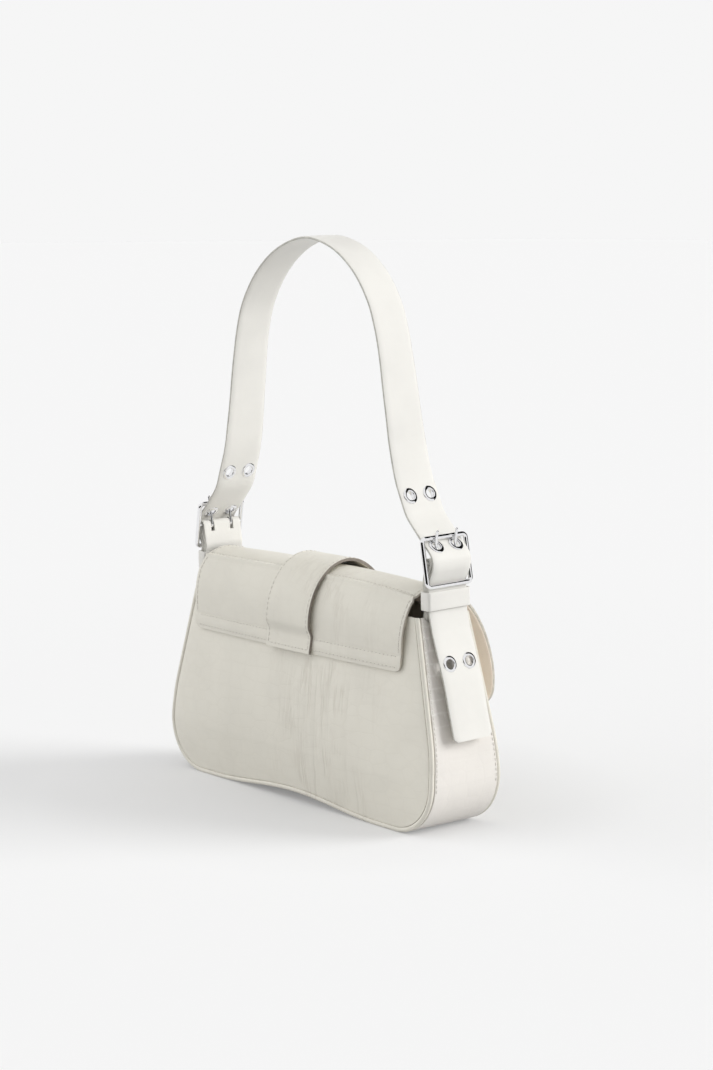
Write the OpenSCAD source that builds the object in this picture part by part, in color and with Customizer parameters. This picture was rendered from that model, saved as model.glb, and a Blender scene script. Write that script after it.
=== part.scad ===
// Baguette bag: an arched leather body with a piped gusset, a flap with a centre tab,
// and a shoulder strap threaded through a double-pronged centre-bar buckle at each end.
// Front faces -Y, the sewn-down back of the flap faces +Y, +Z is up, millimetres.

/* [Body] */
// Greatest width of the body, outside of gusset to outside of gusset
body_w = 269.4; // [262:0.2:278]
// Width of the body at its mouth
mouth_w = 226; // [222:0.5:230]
// Height of the body at its mouth
body_h = 134; // [131:0.5:137]
// Depth of the body at its base, seam to seam
base_depth = 57; // [52:0.5:62]
// Depth of the body at its mouth, seam to seam
mouth_depth = 42; // [39:0.5:45]
// Height at which the sides start to lean in towards the mouth
taper_start = 35; // [20:1:50]
// Radius of the two lower corners
corner_r = 34; // [30:0.5:38]
// Radius that blends the widest point into the straight flank
flank_r = 120; // [90:5:150]
// Rise of the arch under the base
arch_rise = 5.5; // [2:0.5:7]
// Half the length of that arch
arch_half = 85; // [70:1:88]
// How far the back panel bellies out past its seams
back_belly = 6; // [3:0.5:7]
// How far the front panel bellies out past its seams
front_belly = 8; // [4:0.5:9]

/* [Leather] */
// Thickness of the two panels
panel_t = 1.6; // [1.2:0.1:2]
// Thickness of the gusset
gusset_t = 1.6; // [1.2:0.1:2]
// Radius of the piping in the two seams
piping_r = 1.6; // [1.2:0.1:1.9]
// How far the piping stands proud of a panel
piping_proud = 0.8; // [0.4:0.1:1]
// Thickness of the cloth lining
lining_t = 0.8; // [0.5:0.1:1]
// Room between a panel and its lining
lining_gap = 1.5; // [1.3:0.1:2]
// Distance of the gusset's lining from the outside of the gusset
lining_inset = 5.6; // [5.4:0.1:6.5]
// Height of the leather facing round the inside of the mouth
facing_h = 14; // [10:1:20]
// Thickness of the board under the base lining
board_t = 1.5; // [1:0.1:1.8]
// Height of the slip pocket inside the back
pocket_h = 66; // [50:1:75]
// Width of that pocket
pocket_w = 124; // [90:2:150]

/* [Flap] */
// How far the lower edge of the flap's sewn-down back lies below the mouth
hem_drop = 34; // [31:0.5:38]
// Height of that hem, up to the row of stitches about which the flap bends
hem_h = 10; // [8:0.5:12]
// How far the hem stops short of the mouth's corners
hem_side = 9; // [8:0.5:15]
// Radius of the hem's two lower corners
hem_corner_r = 5; // [3:0.5:8]
// How far the ridge and roof stop short of the mouth's corners, clear of the strap's ends
flap_side = 7.4; // [7:0.2:12]
// How far the flap's front stops short of them
flap_front_side = 9; // [8:0.5:15]
// How far the stitched ridge lies inside the mouth's back seam
ridge_in = 3; // [1:0.5:5]
// Height of that ridge above the mouth, in the middle
ridge_rise = 15.5; // [14:0.5:16]
// How far the ridge droops at its two ends
ridge_droop = 4; // [0:0.5:5]
// Rise of the roof between ridge and shoulder
roof_crown = 6; // [2:0.5:7]
// How far the front shoulder lies inside the mouth's front seam
shoulder_in = 3; // [1:0.5:5]
// Height of that shoulder above the mouth
shoulder_rise = 13; // [11:0.5:14]
// Extra reach of the front's two sides, which flare
front_flare = 9.5; // [4:0.5:11]
// How far below the mouth the front reaches furthest
front_wide_drop = 48; // [42:1:54]
// How far below the mouth the front ends
flap_drop = 66; // [58:1:70]
// Radius of the front's two lower corners
flap_corner_r = 12; // [10:1:24]
// Thickness of the flap's leather
flap_t = 1.5; // [1.2:0.1:1.7]
// Thickness of the flap's lining
flap_lining_t = 1; // [0.7:0.1:1.2]

/* [Centre tab] */
// Width of the tab over the flap
tab_w = 44; // [38:0.5:50]
// Thickness of the tab
tab_t = 2; // [1.6:0.1:2.2]
// How far the tab bulges out above its hem
tab_bulge = 2.4; // [0.5:0.1:3]
// Height above the hem at which it stands furthest back and starts to bend over the roof
tab_bulge_h = 8; // [5:0.5:10]
// Height of the tab's crest above the ridge
tab_crest = 9.5; // [9:0.1:12.5]
// How far the tab ends below the flap's front
tab_past = 10; // [6:1:16]
// Radius of the corners of that end
tab_corner_r = 14; // [6:1:20]
// Radius of the two halves of the magnet snap
snap_r = 7; // [6:0.5:8]
// How far below the mouth the snap lies
snap_drop = 50; // [46:0.5:52]
// Thickness of the half on the body
snap_socket_t = 2.2; // [2:0.1:2.4]
// Thickness of the half on the flap
snap_stud_t = 1.2; // [1:0.1:1.3]
// Radius of the nub in the middle of the snap
snap_nub_r = 2.2; // [1.5:0.1:2.5]
// Height of that nub
snap_nub_h = 0.7; // [0.4:0.1:0.8]

/* [Strap] */
// Width of the shoulder strap
strap_w = 31.5; // [30:0.5:32]
// Thickness of the strap's leather
strap_t = 1.25; // [1:0.05:1.3]
// Thickness of its backing
backing_t = 0.9; // [0.6:0.05:0.9]
// Height of the middle of the strap above the mouth
strap_rise = 230.4; // [210:0.2:250]
// Height above the mouth at which the legs pass into the crown
crown_rise = 154; // [146:1:166]
// How far the crown is narrower on each side than the mouth
crown_in = 37; // [33:0.5:41]
// Lean of the whole strap towards the back, in degrees
strap_lean = 1.3; // [0:0.1:1.5]
// Height above the mouth of the axis on which the strap falls forward
pivot_rise = 16; // [15:0.5:17]
// How far outside the mouth the strap passes through its keepers
keeper_out = 3.2; // [3:0.1:4]
// How far the hanging tail stands off the gusset
tail_stand = 6.2; // [5.5:0.1:8]
// How far below the mouth the tail ends
tail_drop = 74; // [66:1:80]
// Distance between the two eyelets of a pair
eyelet_pitch = 15.9; // [14:0.1:16.5]
// Radius of an eyelet's hole
eyelet_hole_r = 3; // [2.9:0.05:3.1]
// Radius of an eyelet's flange
eyelet_r = 5.2; // [4.8:0.1:5.6]
// Height of the upper eyelets above the mouth
eyelet_up = 72; // [69:0.5:75]
// How far below the mouth the eyelets in the hanging tail lie
eyelet_down = 28; // [26:0.5:32]

/* [Buckle] */
// Width of the frame outside
frame_w = 38.6; // [38:0.1:40]
// Height of the frame outside
frame_h = 32.5; // [32:0.1:33]
// Radius of the frame's bars
bar_r = 1.5; // [1.3:0.05:1.6]
// Radius of the frame's corners at the middle of the bar
frame_corner_r = 2.6; // [2:0.1:4]
// Tilt of the frame from upright, in degrees
frame_tilt = 9.7; // [8:0.1:11]
// How far the centre bar lies outside the mouth
bar_out = 2.6; // [2:0.1:3.2]
// Height of the centre bar above the mouth
bar_rise = 34.1; // [33.5:0.1:35]
// Radius of a prong's wire
prong_r = 0.9; // [0.7:0.05:0.95]
// Length of a prong past the top bar
prong_past = 4.6; // [3:0.1:6]
// Thickness of one layer of the leather chape round the centre bar
chape_t = 1.4; // [1.1:0.05:1.4]
// Width of the chape
chape_w = 31; // [29:0.5:31]
// How far the chape's ends are sewn down inside the mouth
anchor_l = 27; // [20:1:34]
// Height of a keeper loop
keeper_h = 11.6; // [9:0.1:11.6]
// Wall of a keeper loop
keeper_t = 1; // [0.8:0.05:1.1]
// Width of a keeper loop outside
keeper_w = 34.8; // [34:0.1:35.5]
// Height of a keeper's lower edge above the mouth
keeper_rise = 4.6; // [4.4:0.1:5]

/* [Hidden] */

// Clearance between sewn layers
seat = 0.1;
// Clearance between soft pieces that are curved or move past each other
soft_gap = 0.35;
// Clearance of a pin in its hole, on the radius
running = 0.05;

leather = "Ivory";
leather_edge = "BurlyWood";
cloth = "PeachPuff";
metal = "Silver";

// Heights above the base, and half-widths and depths from the middle, that follow the body
hem_low = body_h - hem_drop;
hinge_z = hem_low + hem_h;
hem_half = mouth_w / 2 - hem_side;
flap_half = mouth_w / 2 - flap_side;
flap_front_half = mouth_w / 2 - flap_front_side;
ridge_y = mouth_depth / 2 - ridge_in;
ridge_z = body_h + ridge_rise;
shoulder_y = mouth_depth / 2 - shoulder_in;
shoulder_z = body_h + shoulder_rise;
front_wide_z = body_h - front_wide_drop;
flap_low = body_h - flap_drop;
tab_shoulder_z = hinge_z + tab_bulge_h;
tab_crest_z = ridge_z + tab_crest;
tab_low = flap_low - tab_past;
snap_z = body_h - snap_drop;
strap_top = body_h + strap_rise;
crown_z = body_h + crown_rise;
crown_half = mouth_w / 2 - crown_in;
pivot_z = body_h + pivot_rise;
keeper_x = mouth_w / 2 + keeper_out;
keeper_z = body_h + keeper_rise;
bar_x = mouth_w / 2 + bar_out;
bar_z = body_h + bar_rise;

// Vectors and grids

function unit(v) = v / norm(v);
function lerp(a, b, f) = a + (b - a) * f;
function clamp(v, low, high) = min(max(v, low), high);
function flat(lists) = [for (l = lists) each l];
function mirror_x(points) = [for (p = points) [-p[0], p[1]]];
function backwards(list) = [for (i = [len(list) - 1:-1:0]) list[i]];

// Two triangles per cell of a grid of rows by cols points, first point at index start
function cells(rows, cols, start) = [
  for (i = [0:rows - 2], j = [0:cols - 2])
    let (a = start + i * cols + j, b = a + 1, c = a + cols, d = c + 1)
      each [[a, b, d], [a, d, c]]
];

// The indices that run once round the rim of such a grid
function rim(rows, cols) = concat(
  [for (j = [0:cols - 1]) j],
  [for (i = [1:rows - 1]) i * cols + cols - 1],
  [for (j = [cols - 2:-1:0]) (rows - 1) * cols + j],
  [for (i = [rows - 2:-1:1]) i * cols]
);

function turned(faces) = [for (f = faces) [f[0], f[2], f[1]]];

// A closed sheet of leather or cloth between two grids of points
module sheet(outer, inner) {
  rows = len(outer);
  cols = len(outer[0]);
  count = rows * cols;
  edge = rim(rows, cols);
  side = [
    for (k = [0:len(edge) - 1])
      let (a = edge[k], b = edge[(k + 1) % len(edge)])
        each [[a, a + count, b + count], [a, b + count, b]]
  ];
  faces = concat(cells(rows, cols, 0), turned(cells(rows, cols, count)), side);
  across = cross(outer[0][1] - outer[0][0], outer[1][0] - outer[0][0]);
  outward = across * (outer[0][0] - inner[0][0]) < 0;
  polyhedron(points = concat(flat(outer), flat(inner)), faces = outward ? faces : turned(faces));
}

// Unit normal of a grid at one point
function grid_normal(g, i, j) =
  let (
    down = g[min(i + 1, len(g) - 1)][j] - g[max(i - 1, 0)][j],
    along = g[i][min(j + 1, len(g[0]) - 1)] - g[i][max(j - 1, 0)]
  ) unit(cross(down, along));

// The same grid moved forwards at its first column, and along its normals from there on
function thickened(g, t) = [
  for (i = [0:len(g) - 1])
    [for (j = [0:len(g[0]) - 1]) g[i][j] + t * (j > 0 ? grid_normal(g, i, j) : [0, -1, 0])]
];

// A round bead of radius r swept along points, each with its outward direction
module bead(points, outward, r, sides) {
  rings = [
    for (k = [0:len(points) - 1], s = [0:sides - 1])
      let (a = 360 * (s + 0.5) / sides)
        points[k] + r / cos(180 / sides) * (cos(a) * outward[k] - sin(a) * [0, 1, 0])
  ];
  wall = [
    for (k = [0:len(points) - 2], s = [0:sides - 1])
      let (a = k * sides + s, b = k * sides + (s + 1) % sides)
        each [[a, b, b + sides], [a, b + sides, a + sides]]
  ];
  last = (len(points) - 1) * sides;
  caps = [[for (s = [sides - 1:-1:0]) s], [for (s = [0:sides - 1]) last + s]];
  polyhedron(points = rings, faces = concat(wall, caps));
}

// Outline of the body in its own plane: arched base, round corners, flaring flanks

widest = body_w / 2;
flank_c = [widest - flank_r, corner_r];
corner_c = [widest - corner_r, corner_r];
mouth_point = [mouth_w / 2, body_h];
flank_lean = let (v = mouth_point - flank_c) atan2(v[1], v[0]) - acos(flank_r / norm(v));

// Half-width of the outline, taken in by inset, at height z
function half_width(z, inset = 0) =
  let (r = flank_r - inset, top = flank_c + r * [cos(flank_lean), sin(flank_lean)])
    z >= top[1] ? top[0] - (z - top[1]) * tan(flank_lean)
    : z >= corner_r ? flank_c[0] + sqrt(pow(r, 2) - pow(z - corner_r, 2))
    : corner_c[0] + sqrt(max(0, pow(corner_r - inset, 2) - pow(corner_r - z, 2)));

// Height of the base at x
function base_height(x, inset = 0) =
  inset + (abs(x) < arch_half ? arch_rise * (1 + cos(180 * x / arch_half)) / 2 : 0);

// Half of the base from its middle to halfway round the corner
function half_base(inset) = concat(
  [for (k = [0:6]) let (x = arch_half * k / 6) [x, base_height(x, inset)]],
  [for (a = [-90:22.5:-45]) corner_c + (corner_r - inset) * [cos(a), sin(a)]]
);

function base_line(inset) =
  let (half = half_base(inset))
    concat(backwards(mirror_x([for (k = [1:len(half) - 1]) half[k]])), half);

// The flank from halfway round the corner to height top
function flank_line(inset, top = body_h) =
  let (r = flank_r - inset, z0 = corner_r + r * sin(flank_lean))
    concat(
      [for (a = [-45, -22.5]) corner_c + (corner_r - inset) * [cos(a), sin(a)]],
      [for (f = [0, 0.5, 1]) flank_c + r * [cos(f * flank_lean), sin(f * flank_lean)]],
      [for (f = [0.25:0.25:1]) let (z = lerp(z0, top, f)) [half_width(z, inset), z]]
    );

// Once round the three closed sides, from the left of the mouth to its right
function outline(inset, top = body_h) =
  let (flank = flank_line(inset, top), base = base_line(inset))
    concat(
      backwards(mirror_x(flank)),
      [for (k = [1:len(base) - 2]) base[k]],
      flank
    );

// Grid of points that fills the outline up to height top, base first
function filled(inset, top = body_h) =
  let (flank = flank_line(inset, top), base = base_line(inset), n = len(base) - 1, m = len(flank) - 1)
    [
      for (j = [0:m])
        let (v = (flank[j][1] - flank[0][1]) / (top - flank[0][1])) [
          for (k = [0:n])
            let (
              u = (base[k][0] / base[n][0] + 1) / 2,
              mouth = [(2 * u - 1) * flank[m][0], top],
              sides = lerp([-flank[j][0], flank[j][1]], flank[j], u),
              corners = lerp(
                lerp(base[0], base[n], u),
                lerp([-flank[m][0], top], [flank[m][0], top], u), v
              )
            ) lerp(base[k], mouth, v) + sides - corners
        ]
    ];

// Depth of the body, and the bellied surface of its panels

function seam_y(z) =
  lerp(base_depth, mouth_depth, clamp((z - taper_start) / (body_h - taper_start), 0, 1.1)) / 2;

function belly(x, z) =
  let (
    span = half_width(z, 2 * piping_r),
    middle = body_h / 2,
    low = clamp((z - base_height(x, 2 * piping_r)) / middle, 0, 1),
    high = max(0, z - middle) / middle,
    rise = 1 - pow(1 - low, 2.2) - 0.85 * pow(high, 2)
  ) rise * pow(max(0, 1 - pow(x / span, 2)), 0.6);

// Outer face of a panel: side is 1 at the back and -1 at the front
function panel_depth(x, z, side) =
  seam_y(z) + (side > 0 ? back_belly : front_belly) * belly(x, z);

// The grid of a panel's face, a given depth below the leather's surface
function panel_grid(inset, top, side, below) = [
  for (row = filled(inset, top))
    [for (p = row) [p[0], side * (panel_depth(p[0], p[1], side) - below), p[1]]]
];

// Part of a panel's face between two heights, no wider than half
function strip_grid(half, low, high, side, below, inset = 3.4) = [
  for (f = [0:1 / 3:1.001])
    let (z = lerp(low, high, f), w = min(half, half_width(z, inset))) [
      for (u = [-1:0.125:1]) [u * w, side * (panel_depth(u * w, z, side) - below), z]
    ]
];

// Slope of the front panel at the snap
snap_slope = (panel_depth(0, snap_z - snap_r, -1) - panel_depth(0, snap_z + snap_r, -1)) / (2 * snap_r);
snap_tilt = atan(snap_slope);

// Everything is drawn about the body's mid-plane, then moved so that the overall
// depth, tab at the back to flared flap at the front, is centred on the origin
hem_t = flap_t + seat + flap_lining_t;
// The flap's front leaves room for the snap between its lining and the front panel
snap_room = snap_socket_t + snap_stud_t + 2 * soft_gap + snap_r * snap_slope + 2 * seat + 0.4;
front_reach = panel_depth(0, snap_z, -1) + hem_t + snap_room;
function hem_depth(x, z) = panel_depth(x, z, 1) + soft_gap + hem_t;
back_reach = hem_depth(0, hem_low) + seat + tab_t;
depth_shift = (front_reach + front_flare - back_reach) / 2;

module placed() {
  translate([0, depth_shift, 0]) children();
}

// Sewn body

panel_inset = 2 * piping_r + seat;
gusset_gap = 2 * piping_r - piping_proud + seat;
// Radius inside which everything that turns with the strap ends stays
turn_r = sqrt(pow(keeper_w / 2, 2) + pow(pivot_z - keeper_z + 1, 2)) + 1;

module back_panel() {
  color(leather) placed()
    sheet(panel_grid(panel_inset, body_h, 1, 0), panel_grid(panel_inset, body_h, 1, panel_t));
}

module front_panel() {
  color(leather) placed()
    sheet(panel_grid(panel_inset, body_h, -1, 0), panel_grid(panel_inset, body_h, -1, panel_t));
}

// Height of the gusset's top edge: scooped where the strap ends turn
function gusset_top(y, high) =
  let (r = turn_r + soft_gap + seat) abs(y) < r ? min(high, pivot_z - sqrt(pow(r, 2) - pow(y, 2))) : high;

// Gusset strip: rows across the depth, points once round the outline
function gusset_grid(inset, edge_gap, high) = [
  for (f = [-1, -0.75, -0.5, -0.25, 0, 0.25, 0.5, 0.75, 1])
    let (top = gusset_top(f * (seam_y(high) - edge_gap), high))
      [for (p = outline(inset, top)) [p[0], f * (seam_y(p[1]) - edge_gap), p[1]]]
];

module gusset() {
  color(leather) placed()
    sheet(gusset_grid(0, gusset_gap, body_h), gusset_grid(gusset_t, gusset_gap, body_h));
}

module piping(side) {
  path = outline(piping_r);
  face = outline(0);
  points = [for (p = path) [p[0], side * (seam_y(p[1]) + piping_proud - piping_r), p[1]]];
  outward = [
    for (k = [0:len(path) - 1])
      let (d = unit(face[k] - path[k])) [d[0], 0, d[1]]
  ];
  bead(points, outward, piping_r, 8);
}

module back_piping() { color(leather_edge) placed() piping(1); }

module front_piping() { color(leather_edge) placed() piping(-1); }

module facing(side) {
  low = body_h - facing_h;
  near = panel_t + soft_gap;
  sheet(
    strip_grid(mouth_w, low, body_h, side, near, lining_inset + 3),
    strip_grid(mouth_w, low, body_h, side, near + panel_t, lining_inset + 3)
  );
}

module back_facing() { color(leather) placed() facing(1); }

module front_facing() { color(leather) placed() facing(-1); }

lining_top = body_h - facing_h - soft_gap;
lining_depth = panel_t + lining_gap;

module panel_lining(side) {
  inset = lining_inset + lining_t + seat;
  sheet(
    panel_grid(inset, lining_top, side, lining_depth),
    panel_grid(inset, lining_top, side, lining_depth + lining_t)
  );
}

module back_lining() { color(cloth) placed() panel_lining(1); }

module front_lining() { color(cloth) placed() panel_lining(-1); }

module gusset_lining() {
  gap = lining_depth + 2;
  color(cloth) placed()
    sheet(
      gusset_grid(lining_inset, gap, lining_top),
      gusset_grid(lining_inset + lining_t, gap, lining_top)
    );
}

module slip_pocket() {
  low = 34;
  near = lining_depth + lining_t + soft_gap;
  color(cloth) placed()
    sheet(
      strip_grid(pocket_w / 2, low, low + pocket_h, 1, near),
      strip_grid(pocket_w / 2, low, low + pocket_h, 1, near + lining_t)
    );
}

module base_board() {
  half = base_depth / 2 - gusset_gap - 3;
  low = gusset_t + seat;
  stations = [for (k = [-6:6]) arch_half * k / 6];
  color("Tan") placed()
    sheet(
      [for (f = [-1, 0, 1]) [for (x = stations) [x, f * half, base_height(x, low)]]],
      [for (f = [-1, 0, 1]) [for (x = stations) [x, f * half, base_height(x, low + board_t)]]]
    );
}

// Flap: a sewn hem, then one sheet up to the ridge, over the roof and down the front

across = [-1:0.125:1];

// Half-width with the two corners at one end rounded: d is the distance from that end
function rounded_half(half, r, d) = d >= r ? half : half - r + sqrt(pow(r, 2) - pow(r - d, 2));

function hem_grid(below) = [
  for (d = [0, 1.5, 5, hinge_z - hem_low])
    let (w = rounded_half(hem_half, hem_corner_r, d), z = hem_low + d)
      [for (t = across) [t * w, hem_depth(t * w, z) - below, z]]
];

module flap_hem() {
  color(leather) placed() sheet(hem_grid(0), hem_grid(hem_t));
}

// Points of the flap's outer face at t from -1 to 1 across it, from the hinge forwards
function flap_column(t) =
  let (
    droop = ridge_droop * pow(abs(t), 2.5),
    y0 = hem_depth(t * hem_half, hinge_z),
    z0 = hinge_z + soft_gap,
    z1 = ridge_z - droop,
    z2 = shoulder_z - droop,
    reach = front_reach + front_flare * pow(t, 2) - shoulder_y
  ) concat(
    [
      for (f = [0:0.2:1])
        [t * lerp(hem_half, flap_half, f), lerp(y0, ridge_y, pow(f, 3)), lerp(z0, z1, f)]
    ],
    [
      for (f = [0.2:0.2:1])
        [t * flap_half, lerp(ridge_y, -shoulder_y, f), lerp(z1, z2, f) + 4 * roof_crown * f * (1 - f)]
    ],
    [
      for (a = [10, 20, 32, 44, 56, 68, 80, 90])
        [
          t * lerp(flap_half, flap_front_half, a / 90),
          -shoulder_y - reach * pow(sin(a), 1.25),
          front_wide_z + (z2 - front_wide_z) * pow(cos(a), 1.25)
        ]
    ],
    [
      for (f = [0.35, 0.65, 0.87, 1])
        let (z = lerp(front_wide_z, flap_low, f))
          [
            t * rounded_half(flap_front_half, flap_corner_r, z - flap_low),
            -shoulder_y - reach * (1 - 0.06 * pow(f, 2)),
            z
          ]
    ]
  );

flap_face = [for (t = across) flap_column(t)];

module flap_shell() {
  color(leather) placed() sheet(flap_face, thickened(flap_face, flap_t));
}

module flap_lining() {
  near = flap_t + seat;
  color(cloth) placed()
    sheet(thickened(flap_face, near), thickened(flap_face, near + flap_lining_t));
}

// Centre tab: sewn down with the hem, then clear over the ridge and roof

tab_across = [-1:0.5:1];

function tab_hem_grid(up) = [
  for (z = [hem_low, lerp(hem_low, hinge_z, 0.5), hinge_z])
    [for (t = tab_across) [t * tab_w / 2, hem_depth(t * tab_w / 2, z) + up, z]]
];

module tab_hem() {
  color(leather) placed() sheet(tab_hem_grid(seat + tab_t), tab_hem_grid(seat));
}

tab_front = front_reach + tab_t + seat + 1.1;

function tab_column(t) =
  let (
    x = t * tab_w / 2,
    y0 = hem_depth(x, hinge_z) + seat + tab_t,
    z0 = hinge_z + soft_gap
  ) concat(
    [
      for (f = [0, 0.3, 0.65])
        [x, y0 + tab_bulge * (1 - cos(180 * f)) / 2, lerp(z0, tab_shoulder_z, f)]
    ],
    [
      for (a = [0:11.25:90])
        [
          x,
          (y0 + tab_bulge) * cos(a),
          tab_shoulder_z + (tab_crest_z - tab_shoulder_z) * sin(a)
        ]
    ],
    [
      for (a = [12:13:90])
        [x, -tab_front * sin(a), front_wide_z + 2 + (tab_crest_z - front_wide_z - 2) * cos(a)]
    ],
    [
      for (f = [0.4, 0.75, 0.92, 1])
        let (z = lerp(front_wide_z, tab_low, f))
          [t * rounded_half(tab_w / 2, tab_corner_r, z - tab_low), -tab_front + 1.2 * f, z]
    ]
  );

tab_face = [for (t = tab_across) tab_column(t)];

module centre_tab() {
  color(leather) placed() sheet(tab_face, thickened(tab_face, tab_t));
}

// Magnet snap under the flap, tilted as the front panel is there

socket_back = -panel_depth(0, snap_z, -1) - seat;

// Puts its children at the snap, their Z out of the front panel
module at_snap(y) {
  translate([0, y, snap_z]) rotate([90 - snap_tilt, 0, 0]) children();
}

module snap_socket() {
  color(metal) placed() at_snap(socket_back)
    difference() {
      cylinder(h = snap_socket_t, r = snap_r, $fn = 48);
      translate([0, 0, snap_socket_t - snap_nub_h - 0.5])
        cylinder(h = snap_nub_h + 1, r = 2 * snap_nub_r, $fn = 48);
    }
}

washer_t = 0.8;

module snap_washer() {
  color(metal) placed() at_snap(socket_back + seat + panel_t + (lining_gap + washer_t) / 2)
    cylinder(h = washer_t, r = snap_r - 1, $fn = 48);
}

module snap_stud() {
  color(metal) placed() at_snap(socket_back)
    translate([0, 0, snap_socket_t + soft_gap]) {
      cylinder(h = snap_stud_t, r = snap_r, $fn = 48);
      translate([0, 0, -snap_nub_h]) cylinder(h = snap_nub_h + 0.1, r = snap_nub_r, $fn = 48);
    }
}

// Strap: one band that runs from tail end to tail end

// Points of an arc of radius r that rounds the corner b between a and c
function rounded_corner(a, b, c, r, steps) =
  let (
    u = unit(a - b),
    w = unit(c - b),
    half = acos(u * w) / 2,
    centre = b + unit(u + w) * r / sin(half),
    from = unit(b + u * r / tan(half) - centre),
    to = unit(b + w * r / tan(half) - centre),
    sweep = 180 - 2 * half
  ) [
    for (k = [0:steps])
      let (g = sweep * k / steps)
        centre + r * (sin(sweep - g) * from + sin(g) * to) / sin(sweep)
  ];

// A polyline with its inner corners rounded
function rounded_path(points, radii, steps) = concat(
  [points[0]],
  [
    for (k = [1:len(points) - 2])
      each rounded_corner(points[k - 1], points[k], points[k + 1], radii[k - 1], steps)
  ],
  [points[len(points) - 1]]
);

// Unit vector to the left of a path at its point k
function left_of(path, k) =
  let (
    n = len(path) - 1,
    a = unit(path[min(k + 1, n)] - path[min(k, n - 1)]),
    b = unit(path[max(k, 1)] - path[max(k - 1, 0)]),
    m = unit(a + b)
  ) [-m[1], m[0]] / max(0.5, m * a);

// A band between two distances to the left of a path, as a flat shape
module band(path, near, far) {
  polygon(concat(
    [for (k = [0:len(path) - 1]) path[k] + near * left_of(path, k)],
    [for (k = [len(path) - 1:-1:0]) path[k] + far * left_of(path, k)]
  ));
}

// Draws a flat shape in X and Z, w wide along Y
module widened(w) {
  rotate([90, 0, 0]) linear_extrude(height = w, center = true) children();
}

// Moves strap pieces from upright to their lean
module on_strap() {
  placed() translate([0, 0, pivot_z]) rotate([-strap_lean, 0, 0]) translate([0, 0, -pivot_z])
    children();
}

// From the buckle's own axes, outward and up the frame, to X and Z
function from_buckle(out, up) = [
  bar_x + out * cos(frame_tilt) - up * sin(frame_tilt),
  bar_z + out * sin(frame_tilt) + up * cos(frame_tilt)
];

strap_half_t = (strap_t + seat + backing_t) / 2;
chape_r = bar_r + 2 * running + chape_t / 2;
// Height of a frame's top and bottom bars above and below its centre bar
bar_up = frame_h / 2 - bar_r;
// The strap clears the bars and, over the centre bar, the chape and prongs wrapped on it
behind_bar = bar_r + strap_half_t + soft_gap + seat;
over_bar = chape_r + chape_t / 2 + strap_half_t + 0.7;
over_half = 3.2;

// From the centre bar, in and up to where the leg leaves the buckle, and up from there past its eyelets
leg_in = 16.8;
leg_up = 27.4;
eyelet_run = 25.5;

tail_points = [
  for (drop = [tail_drop, eyelet_down + strap_w / 3])
    [half_width(body_h - drop) + tail_stand, body_h - drop],
  [keeper_x + tail_stand * 0.4, body_h - tail_stand * 1.3],
  [keeper_x, body_h + keeper_rise - 1.6],
  [keeper_x, body_h + keeper_rise + keeper_h - 0.8]
];
leg_points = [
  for (step = [[-leg_in, leg_up], [-leg_in - eyelet_run / 2.5, leg_up + eyelet_run]])
    [bar_x, bar_z] + step,
  [crown_half + 4, crown_z - 26]
];

half_path = concat(
  rounded_path(
    concat(
      tail_points,
      [
        from_buckle(-behind_bar, -bar_up + 0.9),
        from_buckle(over_bar, -over_half),
        from_buckle(over_bar, over_half),
        from_buckle(-behind_bar, bar_up - 0.9)
      ],
      leg_points,
      [[crown_half, crown_z]]
    ),
    [60, 30, 20, 6, 4, 4, 4, 4, 38, 110, 120], 5
  ),
  [
    for (a = [9:9:81])
      [
        crown_half * pow(cos(a), 1.05),
        crown_z + (strap_top - crown_z - strap_half_t) * pow(sin(a), 1.05)
      ]
  ]
);

strap_path = concat(
  half_path,
  [[0, strap_top - strap_half_t]],
  backwards(mirror_x(half_path))
);

// Place and slope of the strap at height z, along one straight run of its path
function on_run(a, b, z) =
  let (f = (z - a[1]) / (b[1] - a[1])) [lerp(a, b, f), unit(b - a)];

upper_spot = on_run(leg_points[0], leg_points[1], body_h + eyelet_up);
tail_spot = on_run(tail_points[1], tail_points[2], body_h - eyelet_down);

prong_coil_r = bar_r + running + prong_r;
prong_lean = asin((prong_coil_r + prong_r + bar_r + seat) / bar_up);

// Where the prongs cross the strap between the centre bar and the top bar
prong_spot =
  let (
    a = from_buckle(over_bar, over_half),
    b = from_buckle(-behind_bar, bar_up - 0.9),
    c = from_buckle(-prong_coil_r * cos(prong_lean), prong_coil_r * sin(prong_lean)),
    d = c + unit(from_buckle(sin(prong_lean), cos(prong_lean)) - [bar_x, bar_z]),
    n = [-(d - c)[1], (d - c)[0]],
    f = ((c - a) * n) / ((b - a) * n)
  ) [lerp(a, b, f), unit(b - a)];

eyelet_spots = [upper_spot, prong_spot, tail_spot];

// Puts its children at an eyelet spot, their Z along the way through the strap, outward
module at_eyelets(side) {
  for (spot = eyelet_spots, y = [-1, 1] * eyelet_pitch / 2)
    mirror([side > 0 ? 0 : 1, 0, 0])
      translate([spot[0][0], y, spot[0][1]])
        rotate([0, 90 - atan2(-spot[1][0], spot[1][1]), 0]) children();
}

module punched() {
  difference() {
    children();
    for (side = [-1, 1])
      at_eyelets(side)
        translate([0, 0, -4]) cylinder(h = 8, r = eyelet_hole_r + 0.4 + running, $fn = 32);
  }
}

module strap_leather() {
  color(leather) on_strap() punched() widened(strap_w)
    band(strap_path, -strap_half_t, strap_t - strap_half_t);
}

module strap_backing() {
  color(leather) on_strap() punched() widened(strap_w)
    band(strap_path, strap_half_t - backing_t, strap_half_t);
}

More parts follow.
